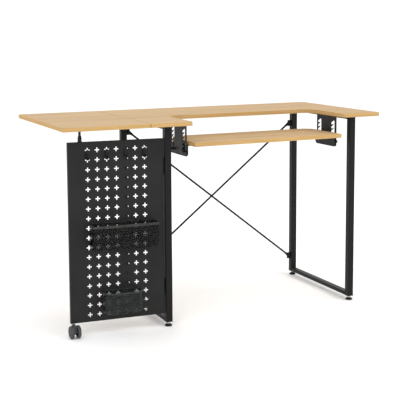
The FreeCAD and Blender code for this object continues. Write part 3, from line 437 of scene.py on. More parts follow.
def sweep(path, radii, sides):
    """Round bar along a path, with a radius for each point."""
    path = [Vector(point) for point in path]
    rings = []
    across = None
    for k, point in enumerate(path):
        ahead = (path[min(k + 1, len(path) - 1)] - path[max(k - 1, 0)]).normalized()
        if across is None:
            across = ahead.orthogonal().normalized()
        across = (across - ahead * across.dot(ahead)).normalized()
        other = ahead.cross(across)
        turns = [math.tau * side / sides for side in range(sides)]
        rings.append([point + (across * math.cos(turn) + other * math.sin(turn)) * radii[k]
                      for turn in turns])
    return loft(rings)


def arc(centre, radius, start, end, steps):
    """Points of an arc in degrees."""
    return [(centre[0] + radius * math.cos(math.radians(start + (end - start) * k / steps)),
             centre[1] + radius * math.sin(math.radians(start + (end - start) * k / steps)))
            for k in range(steps + 1)]


def rounded_outline(low, high, radius, steps):
    """Rectangle with rounded corners."""
    left, front = low[0] + radius, low[1] + radius
    right, rear = high[0] - radius, high[1] - radius
    points = []
    for centre, start in (((left, front), 180), ((right, front), 270), ((right, rear), 0),
                          ((left, rear), 90)):
        points += arc(centre, radius, start, start + 90, steps)
    return points


def axis_place(centre, axis):
    """Frame at a point, with its Z along an axis."""
    return Matrix.Translation(centre) @ Vector(axis).to_track_quat("Z", "Y").to_matrix().to_4x4()


def hexagon(radius):
    return [(radius * math.cos(math.tau * k / 6), radius * math.sin(math.tau * k / 6)) for k in range(6)]


def pan_head(radius, height):
    """Screw head that faces +Z from z = 0, with a cross recess."""
    steps, depth = 48, 0.75 * height
    arm, reach = 0.17 * radius, 0.55 * radius
    profile = [(0.12, 1), (0.22, 1), (0.32, 1), (0.42, 0.99), (0.52, 0.98), (0.62, 0.96), (0.75, 0.9),
               (0.88, 0.76), (0.96, 0.55), (1.0, 0.28), (1.0, 0.0)]
    rings = []
    for share, level in profile:
        ring = []
        for k in range(steps):
            angle = math.tau * k / steps
            x, y = radius * share * math.cos(angle), radius * share * math.sin(angle)
            inside = min(abs(x), abs(y)) < arm and max(abs(x), abs(y)) < reach
            ring.append((x, y, height * level - (depth if inside else 0)))
        rings.append(ring)
    return loft(rings)


def threaded_rod(radius, pitch, low, high, sides=24):
    """Rod with a helical thread."""
    rings = []
    step = pitch / 6
    count = int((high - low) / step)
    for row in range(count + 1):
        z = low + (high - low) * row / count
        ring = []
        for k in range(sides):
            phase = (z / pitch - k / sides) % 1.0
            groove = abs(2 * phase - 1)
            ends = min(1.0, (z - low) / pitch + 0.2, (high - z) / pitch + 0.2)
            r = radius - 0.55 * pitch * groove * 0.9 - 0.25 * pitch * (1 - ends)
            turn = math.tau * k / sides
            ring.append((r * math.cos(turn), r * math.sin(turn), z))
        rings.append(ring)
    return loft(rings)


# ---------------- camera, floor and light

CAMERA_PLACE = (-1.6216, -3.4724, 1.1119)
CAMERA_YAW, CAMERA_PITCH, CAMERA_ROLL = 25.061, 6.781, 0.286
CAMERA_LENS, CAMERA_SHIFT = 88.25, -0.15
FLOOR_TONES = ((0.975,) * 3, (0.99,) * 3)
WORLD_STRENGTH = 1.13
LIGHT_TARGET = Vector((0, 0, 0.45))
LAMPS = (("key", (2.4, -2.6, 3.0), 2.4, 38), ("fill", (-2.6, -2.4, 2.6), 2.4, 16),
         ("rear", (0.4, 3.0, 2.8), 2.6, 14))        # name, place, size in metres, power in watts


def studio():
    """Camera to the front left, pale floor and soft light."""
    yaw, pitch, roll = (math.radians(angle) for angle in (CAMERA_YAW, CAMERA_PITCH, CAMERA_ROLL))
    ahead = Vector((math.sin(yaw) * math.cos(pitch), math.cos(yaw) * math.cos(pitch), -math.sin(pitch)))
    right = Vector((math.cos(yaw), -math.sin(yaw), 0))
    down = ahead.cross(right)
    across = right * math.cos(roll) + down * math.sin(roll)
    below = down * math.cos(roll) - right * math.sin(roll)
    camera = bpy.data.objects.new("camera", bpy.data.cameras.new("camera"))
    camera.data.sensor_width = 36
    camera.data.lens = CAMERA_LENS
    camera.data.shift_y = CAMERA_SHIFT
    camera.data.clip_end = 50
    turn = Matrix((across, -below, -ahead)).transposed().to_4x4()
    camera.matrix_world = Matrix.Translation(CAMERA_PLACE) @ turn
    bpy.context.scene.collection.objects.link(camera)
    bpy.context.scene.camera = camera

    bm = bmesh.new()
    bmesh.ops.create_grid(bm, x_segments=8, y_segments=8, size=9)
    mesh = bpy.data.meshes.new("floor")
    bm.to_mesh(mesh)
    bm.free()
    floor = bpy.data.objects.new("floor", mesh)
    bpy.context.scene.collection.objects.link(floor)
    mat = new_material("floor_paint", 0.9, Specular_IOR_Level=0.1)
    cloud = noise_at(mat, coordinates(mat, (0.8,) * 3), detail=2)
    link(mat, ramp(mat, cloud, (0.3, FLOOR_TONES[0]), (0.7, FLOOR_TONES[1])),
         shader_of(mat).inputs["Base Color"])
    mesh.materials.append(mat)

    world = bpy.data.worlds.new("studio")
    bpy.context.scene.world = world
    world.use_nodes = True
    background = world.node_tree.nodes["Background"]
    background.inputs["Color"].default_value = (1, 1, 1, 1)
    background.inputs["Strength"].default_value = WORLD_STRENGTH
    for name, place, size, power in LAMPS:
        lamp = bpy.data.lights.new(name, "AREA")
        lamp.shape = "DISK"
        lamp.size = size
        lamp.energy = power
        light = bpy.data.objects.new(name, lamp)
        light.location = place
        light.rotation_euler = (LIGHT_TARGET - Vector(place)).to_track_quat("-Z", "Y").to_euler()
        bpy.context.scene.collection.objects.link(light)
    bpy.context.scene.view_settings.view_transform = "Standard"


# ---------------- boards

def board(node, body):
    """Laminated board: soft edges and a separate edge band."""
    low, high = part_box(node)
    bm = prism(top_outline(node), low.z, high.z, soft=0.7 * MM, segments=3)
    bm.normal_update()
    for face in bm.faces:
        face.material_index = 0 if abs(face.normal.z) > 0.8 else 1
    finish(bm, node + "_panel", body, [OAK_FACE, OAK_EDGE], stands_for=node, angle=60)


# ---------------- side frames and feet

def weld_bead(path, radius=1.3 * MM):
    """Rippled weld along a path."""
    points, radii = [], []
    for start, end in zip(path, path[1:]):
        start, end = Vector(start), Vector(end)
        steps = max(2, int((end - start).length / (0.9 * MM)))
        for k in range(steps):
            points.append(start.lerp(end, k / steps))
            radii.append(radius * (1 + 0.16 * math.sin(len(points) * 2.1)))
    return sweep(points, radii, sides=8)


def frame_welds():
    """Weld beads where the rails meet the legs."""
    beads = bmesh.new()
    for rail in ("left_bottom_rail", "left_top_rail", "right_bottom_rail", "right_top_rail"):
        low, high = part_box(rail)
        edge = 2.5 * MM
        for y, inward in ((low.y, 1), (high.y, -1)):
            y += 0.3 * MM * inward
            for x in (low.x, high.x):
                join(beads, weld_bead([(x, y, low.z + edge), (x, y, high.z - edge)]))
            if "bottom" in rail:
                for z in (low.z, high.z):
                    join(beads, weld_bead([(low.x + edge, y, z), (high.x - edge, y, z)]))
            else:
                join(beads, weld_bead([(low.x + edge, y, low.z), (high.x - edge, y, low.z)]))
    for low, high in solids("brace_ears"):
        middle = (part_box("brace_ears")[0].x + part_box("brace_ears")[1].x) / 2
        x = low.x if low.x < middle else high.x
        for y in (low.y, high.y):
            join(beads, weld_bead([(x, y, low.z + MM), (x, y, high.z - MM)]))
    finish(beads, "weld_beads", "frame", COAT)


def feet():
    """Levelling feet: a domed glide and a threaded stud with its nut."""
    for end in ("front", "rear"):
        for side in ("left", "right"):
            name = f"{end}_{side}_foot"
            low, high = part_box(name + "_glide")
            centre = (low + high) / 2
            radius = (high.x - low.x) / 2
            top = high.z
            dome = ((2.2, 0), (1.4, 0.25), (0.5, 1.1), (0, 2.2), (0, 3.6), (0.5, 4.6), (1.6, 5.2),
                    (3.2, 6.1), (4.8, 7.4))
            profile = [(0, 0)] + [(radius - inset * MM, z * MM) for inset, z in dome]
            profile += [(8.3 * MM, 8.8 * MM), (8.0 * MM, top - 0.4 * MM), (7.6 * MM, top), (0, top)]
            place = Matrix.Translation((centre.x, centre.y, 0))
            finish(lathe(profile, 64), name + "_pad", name, PLASTIC, place,
                   stands_for=name + "_glide", angle=40)
            low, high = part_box(name + "_stud")
            nut_top = low.z + 6 * MM
            bm = prism(hexagon(7 * MM), low.z, nut_top, soft=0.5 * MM)
            join(bm, threaded_rod(4 * MM, 1.25 * MM, nut_top - 0.3 * MM, high.z))
            finish(bm, name + "_screw", name, ZINC, place, stands_for=name + "_stud", angle=35)


# ---------------- cross brace

def brace_rod(node):
    """Round rod whose ends are pressed flat into eyes."""
    low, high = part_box(node)
    rising = node.endswith("rising")
    eye = 7 * MM
    start = Vector((low.x + eye, 0, (low.z if rising else high.z) + (eye if rising else -eye)))
    end = Vector((high.x - eye, 0, (high.z if rising else low.z) + (-eye if rising else eye)))
    side = 1 if rising else -1
    ears_low, ears_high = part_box("brace_ears")
    plane = (ears_low.y + ears_high.y) / 2
    along = (end - start).normalized()
    across = Vector((-along.z, 0, along.x))
    length = (end - start).length
    eye_y, rod_y = side * 3.0 * MM, side * 5.0 * MM
    stations = [(-eye * 0.999, 0.02, 1.5, eye_y)]
    for angle in (60, 45, 30, 15, 0):
        turn = math.radians(angle)
        stations.append((-eye * math.sin(turn), eye / MM * math.cos(turn), 1.5, eye_y))
    for share in (0.15, 0.35, 0.55, 0.75, 0.9, 1.0):
        bend = share * share * (3 - 2 * share)
        stations.append((share * 4 * eye, 7 + (4 - 7) * bend, 1.5 + 2.5 * bend,
                         eye_y + (rod_y - eye_y) * bend))
    stations.append((length / 4, 4, 4, rod_y))
    far_half = [(length - at, height, thick, y) for at, height, thick, y in reversed(stations)]
    rings = []
    sides = 24
    for at, half_height, half_thick, y in stations + [(length / 2, 4, 4, rod_y)] + far_half:
        centre = start + along * at
        ring = []
        for k in range(sides):
            angle = math.tau * k / sides
            c, s = math.cos(angle), math.sin(angle)
            flat = 1 - (half_thick - 1.5) / 2.5
            power = 1 - 0.55 * max(0.0, flat)
            dx = math.copysign(abs(c) ** power, c) * half_height * MM
            dy = math.copysign(abs(s) ** power, s) * half_thick * MM
            ring.append(centre + across * dx + Vector((0, plane + y + dy, 0)))
        rings.append(ring)
    finish(loft(rings), node + "_bar", "frame", COAT, stands_for=node, angle=60)


def brace_bolts():
    """Button-headed bolt and nut at each end of each rod."""
    ears_low, ears_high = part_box("brace_ears")
    plane = (ears_low.y + ears_high.y) / 2
    for number, (low, high) in enumerate(solids("brace_bolts"), start=1):
        centre = (low + high) / 2
        outward = 1 if centre.y > plane else -1
        ends = (low.y, high.y) if outward > 0 else (high.y, low.y)
        bm = prism(hexagon(4.5 * MM), 0, 3.2 * MM, soft=0.5 * MM)
        bm.transform(axis_place((centre.x, ends[0] + outward * 3.4 * MM, centre.z), (0, -outward, 0)))
        head = lathe([(0, 3.3 * MM), (2.6 * MM, 3.2 * MM), (4.0 * MM, 2.6 * MM), (4.8 * MM, 1.5 * MM),
                      (5.0 * MM, 0.5 * MM), (5.0 * MM, 0), (0, 0)][::-1], 32)
        head.transform(axis_place((centre.x, ends[1] - outward * 3.5 * MM, centre.z), (0, outward, 0)))
        join(bm, head)
        shank = lathe([(0, 0), (2.2 * MM, 0), (2.45 * MM, 0.3 * MM), (2.45 * MM, high.y - low.y - 3.6 * MM),
                       (0, high.y - low.y - 3.6 * MM)], 24)
        shank.transform(axis_place((centre.x, ends[0], centre.z), (0, outward, 0)))
        join(bm, shank)
        finish(bm, f"brace_bolt_{number}", "frame", BLACK_PLATE, angle=35,
               stands_for="brace_bolts" if number == 1 else ())


# ---------------- screws

def wood_screws(node, body):
    """Pan-head wood screws that point upwards, in place of plain ones."""
    head_height = 2 * MM
    bm = bmesh.new()
    for low, high in solids(node):
        centre = (low + high) / 2
        radius = (high.x - low.x) / 2
        shank = lathe([(0, 0), (1.9 * MM, 0), (1.9 * MM, high.z - low.z - head_height - 3 * MM),
                       (0, high.z - low.z - head_height)], 16)
        shank.transform(Matrix.Translation((centre.x, centre.y, low.z + head_height)))
        join(bm, shank)
        head = pan_head(radius, head_height)
        head.transform(axis_place((centre.x, centre.y, low.z + head_height), (0, 0, -1)))
        join(bm, head)
    finish(bm, node + "_detailed", body, ZINC, stands_for=node, angle=40)


def lift_pins():
    """Threaded pins with knurled caps that hang the platform in its slots."""
    low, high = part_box("main_top")
    middle = (low.x + high.x) / 2
    for number, (low, high) in enumerate(solids("lift_pins"), start=1):
        centre = (low + high) / 2
        outward = -1 if centre.x < middle else 1
        head_end = low.x if outward < 0 else high.x
        length = high.x - low.x
        steps = 60
        rings = []
        for share, height in ((0.30, 5.0), (0.78, 5.0), (0.92, 4.7), (1.0, 4.0), (1.0, 0.6), (0.94, 0.0)):
            ring = []
            for k in range(steps):
                knurl = 0.25 * MM * (k % 2) * (1 if 0.95 < share and 0.5 < height < 4.2 else 0)
                r = 6.5 * MM * share - knurl
                turn = math.tau * k / steps
                ring.append((r * math.cos(turn), r * math.sin(turn), height * MM))
            rings.append(ring)
        bm = loft(rings)
        foot = -(length - 5 * MM)
        join(bm, lathe([(0, foot), (3.2 * MM, foot), (3.5 * MM, foot + 0.4 * MM), (3.5 * MM, 0.2 * MM),
                        (0, 0.2 * MM)], 32))
        bm.transform(axis_place((head_end - outward * 5 * MM, centre.y, centre.z), (outward, 0, 0)))
        finish(bm, f"lift_pin_{number}", "platform", BLACK_PLATE, angle=40,
               stands_for="lift_pins" if number == 1 else ())


# ---------------- pegboard panel

def pegboard():
    """Folded sheet with real cross holes, soft punched edges and rounded folds."""
    low, high = box_in("pegboard_panel", PANEL)
    pitch, long, short = PEG_PITCH, CROSS_LONG, CROSS_SHORT
    last_x = high.x - PEG_SIDE_MARGIN
    first_z = low.z + PEG_LOW_MARGIN
    stem = PANEL.inverted() @ Vector((*JOINTS["caster_swivel"]["pos_m"][:2], 0))
    stem_half, stem_radius = 5.5 * MM, 4.4 * MM
    xs = {low.x, low.x + SHEET, high.x - SHEET, high.x, stem.x - stem_half, stem.x + stem_half}
    zs = {low.z, low.z + SHEET, high.z - SHEET, high.z}
    holes = set()
    for column in range(PEG_COLUMNS):
        x = last_x - pitch * column
        xs |= {x - long, x - short, x + short, x + long}
    for row in range(PEG_ROWS):
        z = first_z + pitch * row
        zs |= {z - long, z - short, z + short, z + long}
    xs, zs = sorted(xs), sorted(zs)

    def in_hole(x, z):
        across = abs((x - last_x + pitch / 2) % pitch - pitch / 2)
        along = abs((z - first_z + pitch / 2) % pitch - pitch / 2)
        inside = (last_x - pitch * (PEG_COLUMNS - 1) - long < x < last_x + long
                  and first_z - long < z < first_z + pitch * (PEG_ROWS - 1) + long)
        return inside and ((across < long and along < short) or (across < short and along < long))

    bm = bmesh.new()
    store = {}

    def vertex(x, y, z):
        key = (round(x, 7), round(y, 7), round(z, 7))
        if key not in store:
            store[key] = bm.verts.new(key)
        return store[key]

    def quad(*corners):
        bm.faces.new([vertex(*corner) for corner in corners])

    face, back, rear = low.y, low.y + SHEET, high.y
    for i, (x0, x1) in enumerate(zip(xs, xs[1:])):
        for j, (z0, z1) in enumerate(zip(zs, zs[1:])):
            if in_hole((x0 + x1) / 2, (z0 + z1) / 2):
                holes.add((i, j))
                continue
            quad((x0, face, z0), (x1, face, z0), (x1, face, z1), (x0, face, z1))
            if 0 < i < len(xs) - 2 and 0 < j < len(zs) - 2:
                quad((x0, back, z0), (x0, back, z1), (x1, back, z1), (x1, back, z0))
    for i, j in holes:
        x0, x1, z0, z1 = xs[i], xs[i + 1], zs[j], zs[j + 1]
        for neighbour, (a, b) in (((i - 1, j), ((x0, z0), (x0, z1))), ((i + 1, j), ((x1, z0), (x1, z1))),
                                  ((i, j - 1), ((x0, z0), (x1, z0))), ((i, j + 1), ((x0, z1), (x1, z1)))):
            if neighbour not in holes:
                quad((a[0], face, a[1]), (b[0], face, b[1]), (b[0], back, b[1]), (a[0], back, a[1]))
    for z0, z1 in zip(zs, zs[1:]):
        for x in (xs[0], xs[-1]):
            quad((x, face, z0), (x, face, z1), (x, rear, z1), (x, rear, z0))
    inner_z = zs[1:-1]
    for z0, z1 in zip(inner_z, inner_z[1:]):
        for x in (xs[1], xs[-2]):
            quad((x, back, z0), (x, back, z1), (x, rear, z1), (x, rear, z0))
        for outer, inner in ((xs[0], xs[1]), (xs[-1], xs[-2])):
            quad((outer, rear, z0), (outer, rear, z1), (inner, rear, z1), (inner, rear, z0))
    stem_sides = {}
    for x0, x1 in zip(xs, xs[1:]):
        over_stem = x0 < stem.x < x1
        for z, first_y in ((zs[0], face), (zs[-1], face), (zs[1], back), (zs[-2], back)):
            inner = z in (zs[1], zs[-2])
            if inner and (x0 == xs[0] or x1 == xs[-1]):
                continue
            if over_stem and z in (zs[0], zs[1]):
                stem_sides[z] = [(x0, first_y), (x1, first_y), (x1, rear), (x0, rear)]
                continue
            quad((x0, first_y, z), (x1, first_y, z), (x1, rear, z), (x0, rear, z))
    for outer, inner in ((zs[0], zs[1]), (zs[-1], zs[-2])):
        for x0, x1 in zip(xs, xs[1:]):
            quad((x0, rear, outer), (x1, rear, outer), (x1, rear, inner), (x0, rear, inner))
    steps = 8
    circles = {}
    for z, corners in stem_sides.items():
        circle = [vertex(x, y, z) for x, y in arc(stem.xy, stem_radius, 225, 585, 4 * steps)[:-1]]
        circles[z] = circle
        for side in range(4):
            first, second = corners[side], corners[(side + 1) % 4]
            curve = [circle[(side * steps + k) % (4 * steps)] for k in range(steps + 1)]
            bm.faces.new([vertex(*first, z), vertex(*second, z)] + curve[::-1])
    below, above = circles[zs[0]], circles[zs[1]]
    for k in range(4 * steps):
        after = (k + 1) % (4 * steps)
        bm.faces.new((below[k], below[after], above[after], above[k]))
    bmesh.ops.recalc_face_normals(bm, faces=bm.faces)

    def on_fold(edge):
        a, b = edge.verts[0].co, edge.verts[1].co
        middle = (a + b) / 2
        if abs(a.y - b.y) > 1e-6:
            return False
        at_face = abs(middle.y - face) < 1e-6
        return at_face and (min(abs(middle.x - xs[0]), abs(middle.x - xs[-1])) < 1e-6
                            or min(abs(middle.z - zs[0]), abs(middle.z - zs[-1])) < 1e-6)

    folds = [edge for edge in bm.edges if on_fold(edge)]
    punched = []
    for edge in bm.edges:
        a, b = edge.verts[0].co, edge.verts[1].co
        if len(edge.link_faces) != 2 or abs(a.y - b.y) > 1e-6 or edge in folds:
            continue
        inside_sheet = xs[1] < min(a.x, b.x) and max(a.x, b.x) < xs[-2]
        inside_sheet = inside_sheet and zs[1] < min(a.z, b.z) and max(a.z, b.z) < zs[-2]
        if inside_sheet and edge.calc_face_angle(0) > 1.0:
            punched.append(edge)
    bmesh.ops.bevel(bm, geom=punched, offset=0.35 * MM, segments=2, affect="EDGES", profile=0.5,
                    clamp_overlap=True)
    folds = [edge for edge in bm.edges if edge.is_valid and on_fold(edge)]
    bmesh.ops.bevel(bm, geom=folds, offset=1.2 * MM, segments=3, affect="EDGES", profile=0.5,
                    clamp_overlap=True)
    finish(bm, "pegboard_sheet", "panel", PANEL_COAT, PANEL,
           stands_for="pegboard_panel", angle=50)


def leaf_rest():
    """Turned post with a neck and a ribbed rubber pad."""
    low, high = box_in("leaf_rest_post", PANEL)
    pad_low, pad_high = box_in("leaf_rest_pad", PANEL)
    centre = (low + high) / 2
    place = PANEL @ Matrix.Translation((centre.x, centre.y, low.z))
    top = high.z - low.z
    base = [(0, 0), (7.8, 0), (8.0, 0.3), (8.0, 2.4), (7.4, 3.0), (6.9, 3.4), (7.0, 5), (7.3, 9), (7.3, 13),
            (6.9, 17), (6.2, 20), (5.2, 22.2), (4.7, 23.2), (4.5, 24.5)]
    profile = [(r * MM, z * MM) for r, z in base] + [(4.5 * MM, top - 0.4 * MM), (4.2 * MM, top), (0, top)]
    finish(lathe(profile, 48), "leaf_rest_turned", "panel", BLACK_PLATE, place,
           stands_for="leaf_rest_post", angle=40)
    bottom, height = pad_low.z - low.z, pad_high.z - pad_low.z
    shape = [(4.52, 0.0), (7.0, 0.0), (8.0, 0.08), (8.7, 0.2), (9.0, 0.34), (9.0, 0.42), (8.6, 0.47),
             (8.6, 0.52), (9.0, 0.57), (9.0, 0.72), (8.6, 0.84), (7.8, 0.94), (6.6, 1.0)]
    profile = [(r * MM, bottom + share * height) for r, share in shape] + [(0, bottom + height)]
    inner = [(0, bottom + 0.5 * height), (4.52 * MM, bottom + 0.5 * height)]
    finish(lathe(inner + profile, 48), "leaf_rest_cap", "panel", RUBBER, place,
           stands_for="leaf_rest_pad", angle=40)


# ---------------- caster

def wheel(side):
    """Moulded wheel: rounded tread band, hollow on the inside, and a dished hub with a centre cap."""
    body = f"caster_{side}_wheel"
    low, high = box_in(f"caster_{side}_tread", CASTER)
    centre = (low + high) / 2
    outward = -1 if side == "left" else 1
    place = CASTER @ axis_place(centre, (outward, 0, 0))
    half = (high.x - low.x) / 2
    radius = (high.z - low.z) / 2
    seat = 14 * MM
    web = -half + 6.6 * MM
    tread = [(seat, web), (17.0 * MM, web - 0.4 * MM), (17.5 * MM, -half + 0.6 * MM), (18.0 * MM, -half),
             (radius - 1.6 * MM, -half), (radius - 0.6 * MM, -half + 0.6 * MM), (radius, -half + 1.8 * MM),
             (radius, half - 5.4 * MM), (radius - 0.5 * MM, half - 3.6 * MM),
             (radius - 1.5 * MM, half - 1.9 * MM), (radius - 3.0 * MM, half - 0.6 * MM),
             (radius - 4.4 * MM, half), (seat + 0.8 * MM, half),
             (seat, half - 0.6 * MM), (seat, web)]
    finish(lathe(tread, 72), f"caster_{side}_band", body, TREAD, place,
           stands_for=f"caster_{side}_tread", angle=35)
    rim = seat - 0.05 * MM
    hub = [(AXLE_BORE, -half), (5.2 * MM, -half), (5.6 * MM, -half + 0.4 * MM), (5.9 * MM, web - 0.6 * MM),
           (6.6 * MM, web), (rim, web), (rim, half - 0.3 * MM), (rim - 0.4 * MM, half),
           (rim - 1.6 * MM, half), (rim - 2.4 * MM, half - 1.6 * MM), (rim - 3.6 * MM, half - 2.3 * MM),
           (6.6 * MM, half - 2.5 * MM),
           (6.0 * MM, half - 2.2 * MM), (5.6 * MM, half - 0.5 * MM), (4.8 * MM, half - 0.1 * MM), (0, half),
           (0, half - 2 * MM), (AXLE_BORE, half - 2 * MM), (AXLE_BORE, -half)]
    bm = lathe(hub, 64)
    bmesh.ops.remove_doubles(bm, verts=bm.verts, dist=SAME_POINT)
    for spoke in range(5):
        rib = block((5.5 * MM, -0.9 * MM, half - 2.7 * MM), (rim - 1.8 * MM, 0.9 * MM, half - 0.9 * MM))
        rib.transform(Matrix.Rotation(math.tau * spoke / 5, 4, "Z"))
        join(bm, rib)
    finish(bm, f"caster_{side}_core", body, CASTER_PLASTIC, place,
           stands_for=f"caster_{side}_hub", angle=35)


def caster():
    """Fork between the wheels, plated stem, axle and socket."""
    low, high = box_in("caster_housing", CASTER)
    axle_low, axle_high = box_in("caster_axle", CASTER)
    axle_y, axle_z = (axle_low.y + axle_high.y) / 2, (axle_low.z + axle_high.z) / 2
    half = (high.x - low.x) / 2
    hood = 26 * MM
    top = high.z
    crest = math.degrees(math.asin((top - axle_z) / hood))
    outline = arc((axle_y, axle_z), hood, -8, crest, 10)
    outline = [(y, z) for y, z in outline if z <= top]
    outline += [(axle_y - 4 * MM, top)] + arc((axle_y, axle_z), 9.9 * MM, 165, 330, 12)
    bm = bmesh.new()
    left = [bm.verts.new((-half, y, z)) for y, z in outline]
    right = [bm.verts.new((half, y, z)) for y, z in outline]
    bm.faces.new(left)
    bm.faces.new(right[::-1])
    for k in range(len(outline)):
        after = (k + 1) % len(outline)
        bm.faces.new((left[k], left[after], right[after], right[k]))
    bmesh.ops.recalc_face_normals(bm, faces=bm.faces)
    rims = [edge for edge in bm.edges if abs(edge.verts[0].co.x - edge.verts[1].co.x) < 1e-6]
    bmesh.ops.bevel(bm, geom=rims, offset=1.0 * MM, segments=3, affect="EDGES", profile=0.5,
                    clamp_overlap=True)
    collar = 6 * MM
    join(bm, lathe([(0, axle_z + 2 * MM), (collar - 1.2 * MM, axle_z + 2 * MM), (collar, axle_z + 4 * MM),
                    (collar, top - 1.4 * MM), (collar - 0.4 * MM, top - 0.4 * MM), (collar - 1.4 * MM, top),
                    (0, top)], 40))
    finish(bm, "caster_fork", "caster", CASTER_PLASTIC, CASTER,
           stands_for="caster_housing", angle=40)

    stem_low, stem_high = box_in("caster_stem", CASTER)
    collar_z = top + 0.2 * MM
    flange = ((6.8, 0.2), (7.2, 0.8), (7.2, 2.4), (6.6, 3.0), (4.2, 3.2), (4.0, 3.6))
    profile = [(0, stem_low.z), (STEM_RADIUS, stem_low.z), (STEM_RADIUS, collar_z)]
    profile += [(radius * MM, collar_z + z * MM) for radius, z in flange]
    profile += [(STEM_RADIUS, stem_high.z - 0.8 * MM), (STEM_RADIUS - 0.6 * MM, stem_high.z),
                (0, stem_high.z)]
    finish(lathe(profile, 48), "caster_pin", "caster", ZINC, CASTER, stands_for="caster_stem",
           angle=35)
    length = (axle_high.x - axle_low.x) / 2
    axle = lathe([(0, -length), (2.6 * MM, -length), (3 * MM, -length + 0.4 * MM),
                  (3 * MM, length - 0.4 * MM), (2.6 * MM, length), (0, length)], 32)
    finish(axle, "caster_shaft", "caster", ZINC,
           CASTER @ axis_place((0, axle_y, axle_z), (1, 0, 0)), stands_for="caster_axle", angle=35)
    socket_low, socket_high = box_in("caster_socket", PANEL)
    centre = (socket_low + socket_high) / 2
    radius = (socket_high.x - socket_low.x) / 2
    z0, z1 = socket_low.z, socket_high.z
    profile = [(STEM_BORE, z0), (radius - 0.3 * MM, z0), (radius, z0 + 0.3 * MM),
               (radius, z1 - 0.8 * MM), (radius - 0.6 * MM, z1), (STEM_BORE + 0.3 * MM, z1),
               (STEM_BORE, z1 - 0.3 * MM), (STEM_BORE, z0)]
    finish(lathe(profile, 40), "caster_bush", "panel", ZINC,
           PANEL @ Matrix.Translation((centre.x, centre.y, 0)), stands_for="caster_socket", angle=35)


# ---------------- hanging accessories

def peg_height(row):
    """Height of a row of peg holes; row 1 is the highest."""
    return box_in("pegboard_panel", PANEL)[0].z + PEG_LOW_MARGIN + PEG_PITCH * (PEG_ROWS - row)


def tab(x, row, from_y):
    """Neck and drop lip that hang a cup or hook in a peg hole."""
    half, lip, height = 1.7 * MM, 2 * MM, 7.5 * MM
    lip_y = box_in("pegboard_panel", PANEL)[0].y + SHEET + HANG_GAP
    low = peg_height(row) - CROSS_LONG + HANG_GAP
    corner = (x + half, lip_y + lip, low + height)
    neck = block((x - half, from_y, low), corner, soft=0.3 * MM)
    return join(neck, block((x - half, lip_y, low - height), corner, soft=0.5 * MM))


def cup(node, name, body, mats, height, radius, fillet, rim, row, span):
    """Open moulded cup with an even wall, a rounded foot, a thickened rim and two hanging tabs."""
    low, high = box_in(node, PANEL)
    wall, proud = 2.5 * MM, 0.8 * MM
    back = box_in("pegboard_panel", PANEL)[0].y - HANG_GAP
    bottom, top = low.z, low.z + height
    rings = []

    def ring(inset, z):
        size = max(radius - inset, 0.6 * MM)
        outline = rounded_outline((low.x + inset, low.y + inset), (high.x - inset, back - max(inset, 0)),
                                  size, steps=10)
        rings.append([(x, y, z) for x, y in outline])

    for angle in (0, 22.5, 45, 67.5, 90):
        turn = math.radians(angle)
        ring(fillet * (1 - math.sin(turn)), bottom + fillet * (1 - math.cos(turn)))
    for inset, z in ((0, (bottom + top) / 2), (0, top - rim - 0.6 * MM), (-proud / 2, top - rim - 0.3 * MM),
                     (-proud, top - rim), (-proud, top - 0.9 * MM), (-proud + 0.35 * MM, top - 0.25 * MM),
                     (-proud + 1.0 * MM, top), (wall - 0.7 * MM, top), (wall - 0.2 * MM, top - 0.2 * MM),
                     (wall, top - 0.8 * MM), (wall, (bottom + top) / 2)):
        ring(inset, z)
    inner = max(fillet - wall, 1.2 * MM)
    for angle in (90, 67.5, 45, 22.5, 0):
        turn = math.radians(angle)
        ring(wall + inner * (1 - math.sin(turn)), bottom + wall + inner * (1 - math.cos(turn)))
    bm = loft(rings)
    # faces of the thickened rim take the second material, whose lighter tone is a painted highlight
    for face in bm.faces:
        face.material_index = 1 if face.calc_center_median().z > top - rim - 0.5 * MM else 0
    middle = box_in("pegboard_panel", PANEL)[1].x - PEG_SIDE_MARGIN - 2.5 * PEG_PITCH
    for side in (-1, 1):
        join(bm, tab(middle + side * span / 2, row, back - wall / 2))
    finish(bm, name, body, mats, PANEL, stands_for=node, angle=50)


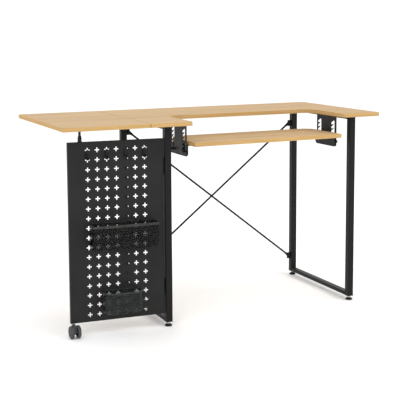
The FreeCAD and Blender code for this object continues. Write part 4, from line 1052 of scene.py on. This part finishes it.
def hooks():
    """Hooks: an oval back plate, a round arm that turns up, a ball tip and a hanging tab."""
    plate_y = box_in("pegboard_panel", PANEL)[0].y - HANG_GAP
    plate_half, thick, wire, reach, bend, ball = (number * MM for number in (7, 2.5, 3, 16, 8, 3.75))
    for number in range(1, 5):
        low, high = box_in(f"hook_{number}", PANEL)
        x = (low.x + high.x) / 2
        z0, z1 = low.z, low.z + 38 * MM
        outline = arc((x, z1 - plate_half), plate_half, 0, 180, 16)
        outline += arc((x, z0 + plate_half), plate_half, 180, 360, 16)
        bm = prism(outline, 0, thick, soft=0.7 * MM, segments=3)
        bm.transform(Matrix(((1, 0, 0, 0), (0, 0, -1, plate_y), (0, 1, 0, 0), (0, 0, 0, 1))))
        arm_z = z0 + plate_half + 2 * MM
        arm_y = plate_y - thick - reach
        front_y = plate_y - thick
        path = [(x, y, arm_z) for y in (plate_y - 0.8 * MM, front_y, front_y - 1.5 * MM,
                                        (front_y + arm_y) / 2, arm_y)]
        radii = [wire + 1.4 * MM, wire + 1.4 * MM, wire, wire, wire]
        for k in range(1, 11):
            angle = math.radians(90 * k / 10)
            path.append((x, arm_y - bend * math.sin(angle), arm_z + bend * (1 - math.cos(angle))))
            radii.append(wire)
        tip_y, tip_z = arm_y - bend, arm_z + bend + 6 * MM
        path.append((x, tip_y, tip_z - 3.4 * MM))
        radii.append(wire)
        for angle in (-52, -35, -18, 0, 18, 36, 54, 72, 84):
            turn = math.radians(angle)
            path.append((x, tip_y, tip_z + ball * math.sin(turn)))
            radii.append(ball * math.cos(turn))
        join(bm, sweep(path, radii, sides=24))
        join(bm, tab(x, 1, plate_y - 1 * MM))
        finish(bm, f"hook_{number}_bent", f"hook_{number}", HOOK_COAT, PANEL,
               stands_for=f"hook_{number}", angle=40)


# ---------------- build

studio()
board("main_top", "frame")
board("side_leaf", "leaf")
board("platform_board", "platform")
frame_welds()
feet()
brace_rod("brace_rod_falling")
brace_rod("brace_rod_rising")
brace_bolts()
for node, body in (("bracket_screws", "frame"), ("rail_screws", "frame"),
                   ("leaf_hinge_fixed_screws", "frame"), ("leaf_hinge_moving_screws", "leaf"),
                   ("platform_screws", "platform")):
    wood_screws(node, body)
lift_pins()
pegboard()
leaf_rest()
wheel("left")
wheel("right")
caster()
cup("storage_tray", "tray_shell", "tray", (TRAY_PLASTIC, TRAY_RIM_PAINTED_HIGHLIGHT), height=88 * MM, radius=4 * MM,
    fillet=3 * MM, rim=9 * MM, row=9, span=5 * PEG_PITCH)
cup("storage_bin", "bin_shell", "bin", (BIN_PLASTIC, BIN_RIM_PAINTED_HIGHLIGHT), height=77 * MM, radius=28 * MM,
    fillet=4 * MM, rim=5 * MM, row=16, span=PEG_PITCH)
hooks()

SLOT_MATERIALS = {"oak": OAK_FACE, "black_steel": COAT, "black_fastener": BLACK_PLATE, "zinc_steel": ZINC,
                  "black_plastic": PLASTIC, "caster_plastic": CASTER_PLASTIC, "caster_tread": TREAD,
                  "rubber_pad": RUBBER, "smoky_plastic": TRAY_PLASTIC}
for part in frame["record"]["subparts"]:
    mesh = frame["nodes"][part["node"]].data
    mesh.materials.clear()
    mesh.materials.append(SLOT_MATERIALS[part["material_slot"]])
